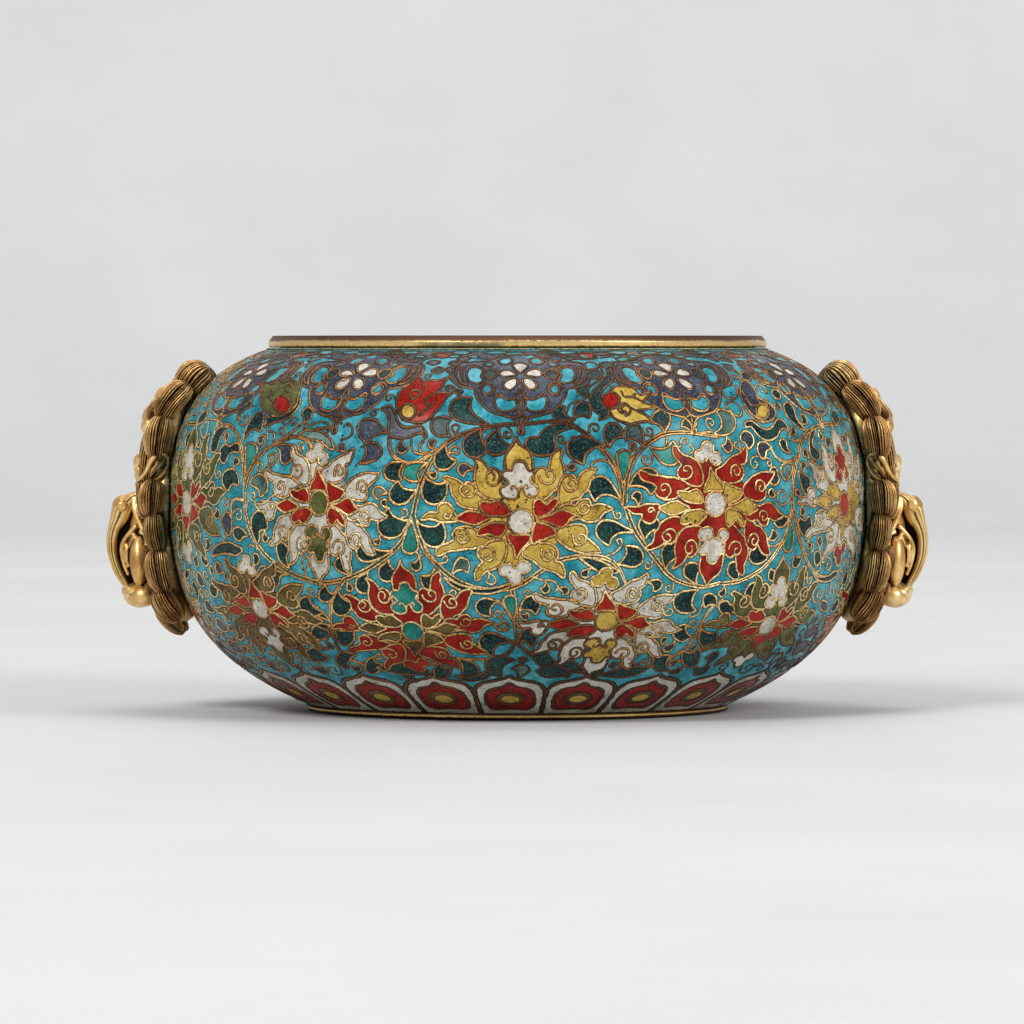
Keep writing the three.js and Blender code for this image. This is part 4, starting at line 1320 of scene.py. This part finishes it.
bead = lathe("solder_bead", bead_outline + [(BEAD_BACK, BEAD_Z + 0.46)], solder(), RIM_STEPS)
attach(bead, "vessel")
FOOT_BORE, FOOT_STEP, FOOT_LINE, FOOT_TOP = 63.0, 65.7, 1.3, 5.0
foot_outline = [
    (FOOT_BORE, 0),
    (FOOT_R - 0.3, 0),
    (FOOT_R, 0.3),
    (FOOT_R, FOOT_LINE),
    (FOOT_STEP, FOOT_LINE),
    (FOOT_STEP, FOOT_TOP),
    (FOOT_BORE, FOOT_TOP),
]
foot = lathe("foot_ring_turned", foot_outline, foot_gilt())
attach(foot, "vessel")
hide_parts("foot_ring")

# The ash liner
LINER_R, LINER_LOW, LINER_CORNER, LINER_WALL = 73, 49, 16, 1.5
FLANGE_R, FLANGE_LOW = 76.7, RIM_TOP - 1.2
BORE = LINER_R - LINER_WALL
CORNER = (LINER_R - LINER_CORNER, LINER_LOW + LINER_CORNER)
liner = lathe(
    "ash_liner_spun",
    [(0, LINER_LOW)]
    + arc(*CORNER, LINER_CORNER, -90, 0, 12)
    + [(LINER_R, FLANGE_LOW), (FLANGE_R, FLANGE_LOW), (FLANGE_R, RIM_TOP - 0.2), (FLANGE_R - 0.2, RIM_TOP)]
    + [(BORE + 0.4, RIM_TOP), (BORE, RIM_TOP - 0.4)]
    + arc(*CORNER, LINER_CORNER - LINER_WALL, 0, -90, 12)
    + [(0, LINER_LOW + LINER_WALL)],
    aged_metal("aged_copper", "8a5a38", "4a2c1c", 0.3, 0.7, 35, 0.35, 0.6),
)
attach(liner, "liner")
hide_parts("ash_liner")
for ob in (rim, foot, liner):
    sharp_edges(ob)

# The other CAD pieces have the right shape, and get spun copper or hammered gilt finishes.
SPUN = aged_metal("spun_copper", "7d5233", "3d2617", 0.3, 0.7, 30, 0.38, 0.65)
PEENED = aged_metal("peened_gilt", "b98d47", "5c3f22", 0.35, 0.65, 120, 0.3, 0.55)
FINISHES = {"copper_body": SPUN, "base_plate": SPUN, "rivet": PEENED, "washer": PEENED}
for name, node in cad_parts.items():
    for start, finish in FINISHES.items():
        if name.startswith(start):
            node.data.materials.clear()
            node.data.materials.append(finish)


# Cast handles
def push_out(v, gap=0.25):
    """Keeps every vertex of a casting a little clear of the vessel's skin."""
    v = np.asarray(v, dtype=float)
    for _ in range(3):
        rho = np.hypot(v[:, 0], v[:, 1])
        s = arc_at(v[:, 2])
        nr = np.interp(s, ARC, NORMALS[:, 0])
        need = np.maximum(0, gap - (rho - radius(s)) * nr)
        v[:, 0] += need * nr * v[:, 0] / rho
        v[:, 1] += need * nr * v[:, 1] / rho
        v[:, 2] += need * np.interp(s, ARC, NORMALS[:, 1])
    return v


def capped_faces(around, along):
    """The faces of a tube whose ends are fans to the two points that come after its own."""
    faces = tube_faces(around, along)
    first, end = around * along, around * (along - 1)
    for i in range(around):
        k = (i + 1) % around
        faces.append((first, k, i))
        faces.append((first + 1, end + i, end + k))
    return faces


def lump_grid(around, along, margin):
    """The angle round a lump and the place along it, -1 at the top and 1 at the bottom, of all its points."""
    v = -np.cos(np.linspace(margin, math.pi - margin, along))
    return np.meshgrid(v, np.linspace(0, TURN, around, endpoint=False), indexing="ij")


def lump(x, y, z, tip, centre, tilt):
    """A lump from the grids of its points and its two tips, tilted about Y and moved to its centre."""
    faces = capped_faces(x.shape[1], x.shape[0])
    x, y, z = np.append(x, (0, 0)), np.append(y, (0, 0)), np.append(z, (tip, -tip))
    c, w = math.cos(math.radians(tilt)), math.sin(math.radians(tilt))
    return np.stack([x * c + z * w, y, z * c - x * w], axis=1) + np.array(centre), faces


def tuft(centre, half, tilt, ridges, bend, depth=0.25, power=2.6):
    """A lock of mane: a blunt barrel of wavy strands of uneven width whose lower ends are ragged."""
    v, phi = lump_grid(208, 44, 0.06)
    rho = (1 - np.abs(v) ** power) ** (1 / power)
    own = centre[0] * 3.1 + centre[2] * 1.7 + centre[1]
    wave = phi + 0.2 * v * v * np.cos(phi) + 0.03 * np.sin(7 * phi + own)
    wave = wave + 0.02 * np.sin(15 * phi + own * 2) + 0.03 * np.sin(2.6 * v + 3 * phi + own)
    ridge = np.abs(np.sin(wave * ridges / 2)) ** 0.85
    tall = 0.75 + 0.25 * np.sin(5 * phi + own) * np.cos(2 * phi)
    fade = np.clip((1 - np.abs(v)) * 7, 0, 1)
    k = rho * (1 - depth * (1 - ridge * tall) * fade)
    ragged = (0.9 * ridge + 0.5 * np.sin(4 * phi + own)) * np.clip(v, 0, 1) ** 4 * rho**0.3
    x = half[0] * k * np.cos(phi) + bend * (1 - v**2)
    verts, faces = lump(x, half[1] * k * np.sin(phi), -half[2] * v - ragged, half[2] * 0.995, centre, tilt)
    # Painted shade: low between the strands, so that the material darkens them.
    shade = 0.12 + 0.88 * ridge * tall
    return verts, faces, np.concatenate([shade.ravel(), [1, 1]])


def ball(centre, half, tilt=0.0):
    v, phi = lump_grid(32, 20, 0.08)
    rho = np.sqrt(1 - v * v)
    x, y = half[0] * rho * np.cos(phi), half[1] * rho * np.sin(phi)
    return lump(x, y, half[2] * -v, half[2], centre, tilt)


def curve(points, n):
    """A smooth curve of n points through points in space."""
    q = np.asarray(points, dtype=float)
    last = len(q) - 1
    t = np.linspace(0, last, n)
    i = np.clip(t.astype(int), 0, last - 1)
    f = (t - i)[:, None]
    p0, p1, p2, p3 = q[np.maximum(i - 1, 0)], q[i], q[i + 1], q[np.minimum(i + 2, last)]
    cubic = (3 * p1 - p0 - 3 * p2 + p3) * f**3
    return 0.5 * (2 * p1 + (p2 - p0) * f + (2 * p0 - 5 * p1 + 4 * p2 - p3) * f**2 + cubic)


def bar(points, radii, n=24, around=16):
    """A round bar along a path, with radii from one end to the other or one for every point."""
    p = curve(points, n)
    radii = np.linspace(*radii, n) if len(radii) == 2 else radii
    t = np.gradient(p, axis=0)
    t /= np.linalg.norm(t, axis=1)[:, None]
    side = np.cross(t, np.array([0.0, 1.0, 0.0]))
    side /= np.linalg.norm(side, axis=1)[:, None] + 1e-9
    up = np.cross(side, t)
    phi = np.linspace(0, TURN, around, endpoint=False)[None, :, None]
    ways = np.cos(phi) * side[:, None, :] + np.sin(phi) * up[:, None, :]
    rings = p[:, None, :] + radii[:, None, None] * ways
    tips = [p[:1] - t[:1] * radii[0] * 0.4, p[-1:] + t[-1:] * radii[-1] * 0.4]
    return np.vstack([rings.reshape(-1, 3), *tips]), capped_faces(around, n)


def both(part):
    """A part of the head and its mirror image, or the part alone if it is on the middle line."""
    if abs(part[0][:, 1].mean()) < 0.1:
        return [part]
    return [part, (part[0] * (1, -1, 1), [face[::-1] for face in part[1]], *part[2:])]


# Locks of the right handle's mane: the centre, the half sizes across, sideways and along the strands, and
# the tilt in degrees, the number of ridges and the bend. Each that is off the middle has a mirror image.
MANE = outlines("""
    105.4,9,108.6 6.6,6.8,5.5 -44,33,0.8;
    112.1,14.5,101.6 4.9,6.5,7.2 -39,33,1;
    117,18,90 4.9,6.5,6.8 -9,33,0.6;
    119.2,19.5,70.2 4.6,6,5.9 -5,33,0.4;
    118.1,20,59.1 4.1,6.2,6 7,33,0.4;
    116.6,19,46.6 4.8,6.4,7 11,33,0.6;
    114.4,15,35.6 5,6.2,6.2 32,33,0.6;
    114.4,9.5,30.2 2.9,5.2,5.6 42,33,0.4;
    107.4,0,109 5.2,7.5,5.8 -44,28,0;
    117.2,8.8,99.4 3.6,5.6,4.8 -40,24,0;
    116.4,0,93.4 6,8.5,7.8 -24,28,0;
    120,12,86.8 3.9,5.5,7.4 -12,22,0;
    121.4,11.4,79.2 2.7,3.8,5.8 -9,20,0;
    122.4,13,70.2 2.8,4.4,6.4 3,20,0;
    121.4,14,50 1.9,3,4.4 8,22,0;
    119.6,12,38.4 1.9,3.4,4.2 26,22,0;
    113.6,0,29.8 3.8,5.5,5.4 42,20,0
""")
# Lumps that are melted into the face: the centre, the half sizes and the tilt.
LUMPS = outlines("""
    107.6,0,103.5 6.6,9,8 40; 112.5,0,92 8.5,16,15 8; 115.6,0,70 9,18,17 0; 115,0,49 9.4,18,16 0;
    112.6,0,36 8.2,12,8 -20; 119.8,0,96.8 3.6,5.6,4.6 -35; 121.6,0,93.6 2.4,3.6,3.2 -20;
    122.2,0,74.2 3.6,4.8,6.6 -8; 122.2,0,82.4 2.8,4.6,4.2 -10; 129.8,0,67 4,5.2,3.6 20;
    125,0,37.6 5.2,7.2,4.2 -16; 128.3,0,38.9 2.3,4.2,2.3 0; 121.6,0,54.5 6.6,9,15 3;
    124.2,0,60 3.4,6.6,7 -14; 117,5,103.6 2,2.6,3 -35; 120.2,5,96 2.6,2.8,2.8 0;
    121,6.4,94 2,2.2,2 0; 124.6,7.4,80.9 1.6,2.4,1.9 0; 123.4,7.8,77 2.4,2.8,2.4 0;
    124.2,8.8,49 3.2,4.8,8.2 2; 128.3,6.9,51.4 1.3,1.6,3.8 3; 130.1,5.2,67.4 1.9,1.7,1.7 0;
    122.8,9.4,37.4 4,3.4,3.4 -10; 126.2,7.6,36.2 2,2.2,1.8 0
""")
# Brows, lids, lips and wrinkles: the radius at each end and the points.
FOLDS = outlines("""
    1.3,1.7 124.6,1.6,79 125,5,81.8 123.6,9.6,82.8 120.8,13,80.4;
    0.8,0.6 124.8,3.6,75 125.1,7,73.9 122.8,11,75.4;
    0.8,0.6 125,3.4,78.2 125.5,7,79.3 122.8,11.2,78;
    0.8,0.6 125.2,8,60.6 128.5,7.6,56.9 130,7,53.9 130,6.6,50.8 129.1,6.4,47.2 127.9,6.4,44.4;
    0.7,0.5 125.7,8.6,57.8 127.2,8.2,53.9 127,8.2,50 128.2,7.2,47;
    0.5,0.4 131.6,5.2,68 130.4,6.2,69 129,6.4,67.8 129.2,6.4,66.2 130.6,6.2,66 131,6,67.2;
    1,0.8 126,6.4,69.8 125.8,8,66.2 124.4,9,62.4 122.8,10,59;
    1,0.8 124.4,9.4,72.4 122.6,11.6,69.6 122.4,11.4,66;
    0.6,0.5 124.6,7,71 124.9,8.4,67.4 123.6,9.8,64.4;
    1,1.2 121.6,12.4,58.6 121,13.4,52 120.4,13.4,45 120,12.4,40.6
""")
EAR_EDGE = points_of("""
    124.5,15.4,75.5 121.9,18.2,77.7 120.4,19.2,80.7 119.2,19.8,82.8 117.8,20.2,83.9 116.3,20.4,84.4
    114.9,20.2,84 114.1,19.6,82.6 114.4,18.8,80.4 115.4,17.8,78.4 117,16.8,76.6 119.4,15.6,75.4 122,14.6,75
""")
# The path of a dark bar that fills the gap of the mouth, painted shade where the mouth is hollow.
WEB = points_of("125.6,0,67 127.8,0,61.4 130.2,0,57 130.8,0,52 129.6,0,47 127.4,0,42")
# The strap's outer and inner edge, seen from the side.
STRAP_OUTER = points_of("""
    125.4,0,71.9 128.2,0,71.1 131.2,0,69 133.5,0,66.4 134,0,64.6 134.7,0,60.9 135.3,0,57.5 135.44,0,54.6
    135.1,0,51.1 133.6,0,46.3 131.8,0,42.9 129.8,0,40.1
""")
STRAP_INNER = points_of("""
    123.6,0,69.6 125.6,0,68.8 126.6,0,66.4 127.4,0,64 128.6,0,61.6 130.6,0,59.3 131.6,0,56.6 131.8,0,53.6
    131.4,0,49.6 130,0,45.6 128.6,0,42.6 127.2,0,39.6
""")


def ear():
    """A folded ear: a thin bright rim round a deep hollow, with a fleshy ridge along its back."""
    n = 90
    edge = bar(EAR_EDGE, np.interp(np.arange(n), [0, 22, 36, 89], [0.6, 1.05, 0.6, 0.55]), n)
    hollow = ball((118.2, 12.5, 79.6), (2.4, 2.2, 5.4), -40)
    flesh = bar([(117.6, 17.6, 82.2), (118.4, 16.8, 80.0), (120.0, 15.4, 77.8)], (0.7, 0.5))
    return [edge, hollow, flesh]


def strap(n=90, around=60):
    """The strap that arches from the nose over the mouth to the chin, with an incised line on each side."""
    outer = curve(STRAP_OUTER, n)
    inner = curve(STRAP_INNER, n)
    verts, shade = [], []
    for j in range(n):
        t = j / (n - 1)
        width = 5.6 - 0.9 * math.sin(math.pi * t) - 1.2 * t
        for i in range(around):
            c, w = math.cos(TURN * i / around), math.sin(TURN * i / around)
            e = 0.5 + 0.5 * math.copysign(abs(c) ** 0.62, c)
            cut = max(math.exp(-(((e - 0.52) / 0.06) ** 2)), 0.7 * math.exp(-(((e - 0.72) / 0.05) ** 2)))
            y = width * math.copysign(abs(w) ** 0.55, w) * (1 - 0.13 * cut)
            x, _, z = inner[j] * (1 - e) + outer[j] * e
            verts.append((x, y, z))
            # Painted shade along the two incised lines.
            shade.append(1 - 0.95 * cut if 0.04 < t < 0.97 and abs(y) > 0.5 * width else 1)
    tips = [(inner[0] + outer[0]) / 2, (inner[-1] + outer[-1]) / 2]
    return np.vstack([verts, tips]), capped_faces(around, n), np.array(shade + [1, 1])


def shaded(ob, values):
    """Stores how high each vertex stands, for the material: 0 in a groove and 1 on a ridge. The material
    paints shade where it is low.
    """
    groove = ob.data.attributes.new("groove", "FLOAT", "POINT")
    groove.data.foreach_set("value", np.asarray(values, dtype=np.float32))
    return ob


def melted(ob, voxel=0.00032, rounds=24):
    """Melts the overlapping parts into one skin and stores how deep each point lies in a hollow, for the
    painted shade in the hollows.
    """
    remesh = ob.modifiers.new("melt", "REMESH")
    remesh.mode = "VOXEL"
    remesh.voxel_size = voxel
    remesh.use_smooth_shade = True
    soften = ob.modifiers.new("soften", "SMOOTH")
    soften.factor = 0.5
    soften.iterations = 2
    mesh = bpy.data.meshes.new_from_object(ob.evaluated_get(bpy.context.evaluated_depsgraph_get()))
    ob.modifiers.clear()
    ob.data = mesh
    n = len(mesh.vertices)
    at, normals = np.empty(3 * n), np.empty(3 * n)
    mesh.vertices.foreach_get("co", at)
    mesh.vertices.foreach_get("normal", normals)
    at, normals = at.reshape(-1, 3), normals.reshape(-1, 3)
    ends = np.empty(2 * len(mesh.edges), dtype=np.int64)
    mesh.edges.foreach_get("vertices", ends)
    a, b = ends[0::2], ends[1::2]
    count = np.bincount(a, minlength=n) + np.bincount(b, minlength=n)
    s = at.copy()
    for _ in range(rounds):
        sums = [np.bincount(a, s[b, k], n) + np.bincount(b, s[a, k], n) for k in range(3)]
        s = np.stack(sums, axis=1) / count[:, None]
    depth = ((s - at) * normals).sum(axis=1) / MM
    return shaded(ob, np.clip(0.85 - 4.6 * depth, 0, 1))


MANE_GILT = cast_gilt("gilt_mane", "dca865", "100804", "8a5a30", "ffe0a0", 0.42, 0.86)
FACE_GILT = cast_gilt("gilt_face", "f0c47c", "2c1a0c", "c08f50", "ffe8b8", 0.32, 0.8, 1.0)
SNOUT_GILT = cast_gilt("gilt_snout", "f2cc84", "2c1a0c", "d4a860", "ffecb8", green=0)


def handle(side, turn):
    """One handle, drawn on the right and given a half turn about Z for the left."""
    locks = [part for centre, half, values in MANE for part in both(tuft(centre, half, *values))]
    verts, faces, shade = merge(locks)
    mane = shaded(new_mesh("mane_" + side, push_out(verts) * turn, faces, [MANE_GILT]), shade)
    parts = [ball(centre, half, tilt) for centre, half, (tilt,) in LUMPS]
    parts += [bar(path, radii) for radii, *path in FOLDS] + ear()
    verts, faces, _ = merge([part for one in parts for part in both(one)])
    face = melted(new_mesh("face_" + side, push_out(verts) * turn, faces, [FACE_GILT]))
    verts, faces, shade = strap()
    snout = shaded(new_mesh("snout_" + side, verts * turn, faces, [SNOUT_GILT]), shade)
    # A near black bar in the mouth's gap, painted shade where the mouth is hollow.
    verts, faces = bar(WEB, (2.4, 2.0), 30)
    mouth_shadow = shaded(new_mesh("throat_" + side, verts * turn, faces, [MANE_GILT]), np.full(len(verts), 0.1))
    for ob in (mane, face, snout, mouth_shadow):
        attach(ob, "vessel")
    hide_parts("handle_" + side)


handle("right", (1, 1, 1))
handle("left", (-1, -1, 1))


# Stage
def stage_floor(half=5000, front=2100, bend=1000, top=4000):
    """A pale floor that curves up into a backdrop, in millimetres."""
    m = Material("floor")
    pale = m.noise(6, 3, 0.55).ramp((0.3, (0.55, 0.55, 0.545)), (0.7, (0.59, 0.59, 0.585)))
    angles = np.linspace(0.1, math.pi / 2, 16)
    curved = [(front + bend * math.sin(a), bend - bend * math.cos(a)) for a in angles]
    sweep = [(-half, 0), (front, 0)] + curved + [(front + bend, top)]
    verts = [(x, y, z) for y, z in sweep for x in (-half, half)]
    faces = [(2 * i, 2 * i + 1, 2 * i + 3, 2 * i + 2) for i in range(len(sweep) - 1)]
    floor = new_mesh("floor", verts, faces, [m.finish(pale, 0.6)])
    floor.location.z = -0.0002
    floor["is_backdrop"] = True


def aimed(ob, at, target):
    ob.location = at
    ob.rotation_euler = (Vector(target) - Vector(at)).to_track_quat("-Z", "Y").to_euler()
    bpy.context.scene.collection.objects.link(ob)
    return ob


def area(name, at, size, energy, target=(0, 0, 0.05)):
    lamp = bpy.data.lights.new(name, "AREA")
    lamp.size = size
    lamp.energy = energy
    aimed(bpy.data.objects.new(name, lamp), at, target)


stage_floor()
world = bpy.data.worlds.new("studio")
world.use_nodes = True
background = world.node_tree.nodes["Background"]
background.inputs[0].default_value = (0.9, 0.92, 0.95, 1)
background.inputs[1].default_value = 0.42
bpy.context.scene.world = world
area("key", (-1.5, -2.1, 2.2), 1.1, 72)
area("fill", (2.2, -1.5, 1.5), 1.1, 50)
area("top", (0, 0.3, 2.4), 1.2, 14)
area("backdrop", (0, 1.4, 2.2), 1.6, 26, (0, 3.0, 0.3))

camera = bpy.data.cameras.new("photo_camera")
camera.lens = LENS
camera.sensor_width = SENSOR
camera.clip_end = 50
bpy.context.scene.camera = aimed(bpy.data.objects.new("photo_camera", camera), EYE * MM, AIM * MM)
bpy.context.scene.view_settings.view_transform = "Standard"


def plain(b):
    return json.loads(json.dumps(b, default=lambda v: [float(x) for x in v]))


{"before": plain(box_before), "after": plain(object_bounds())}
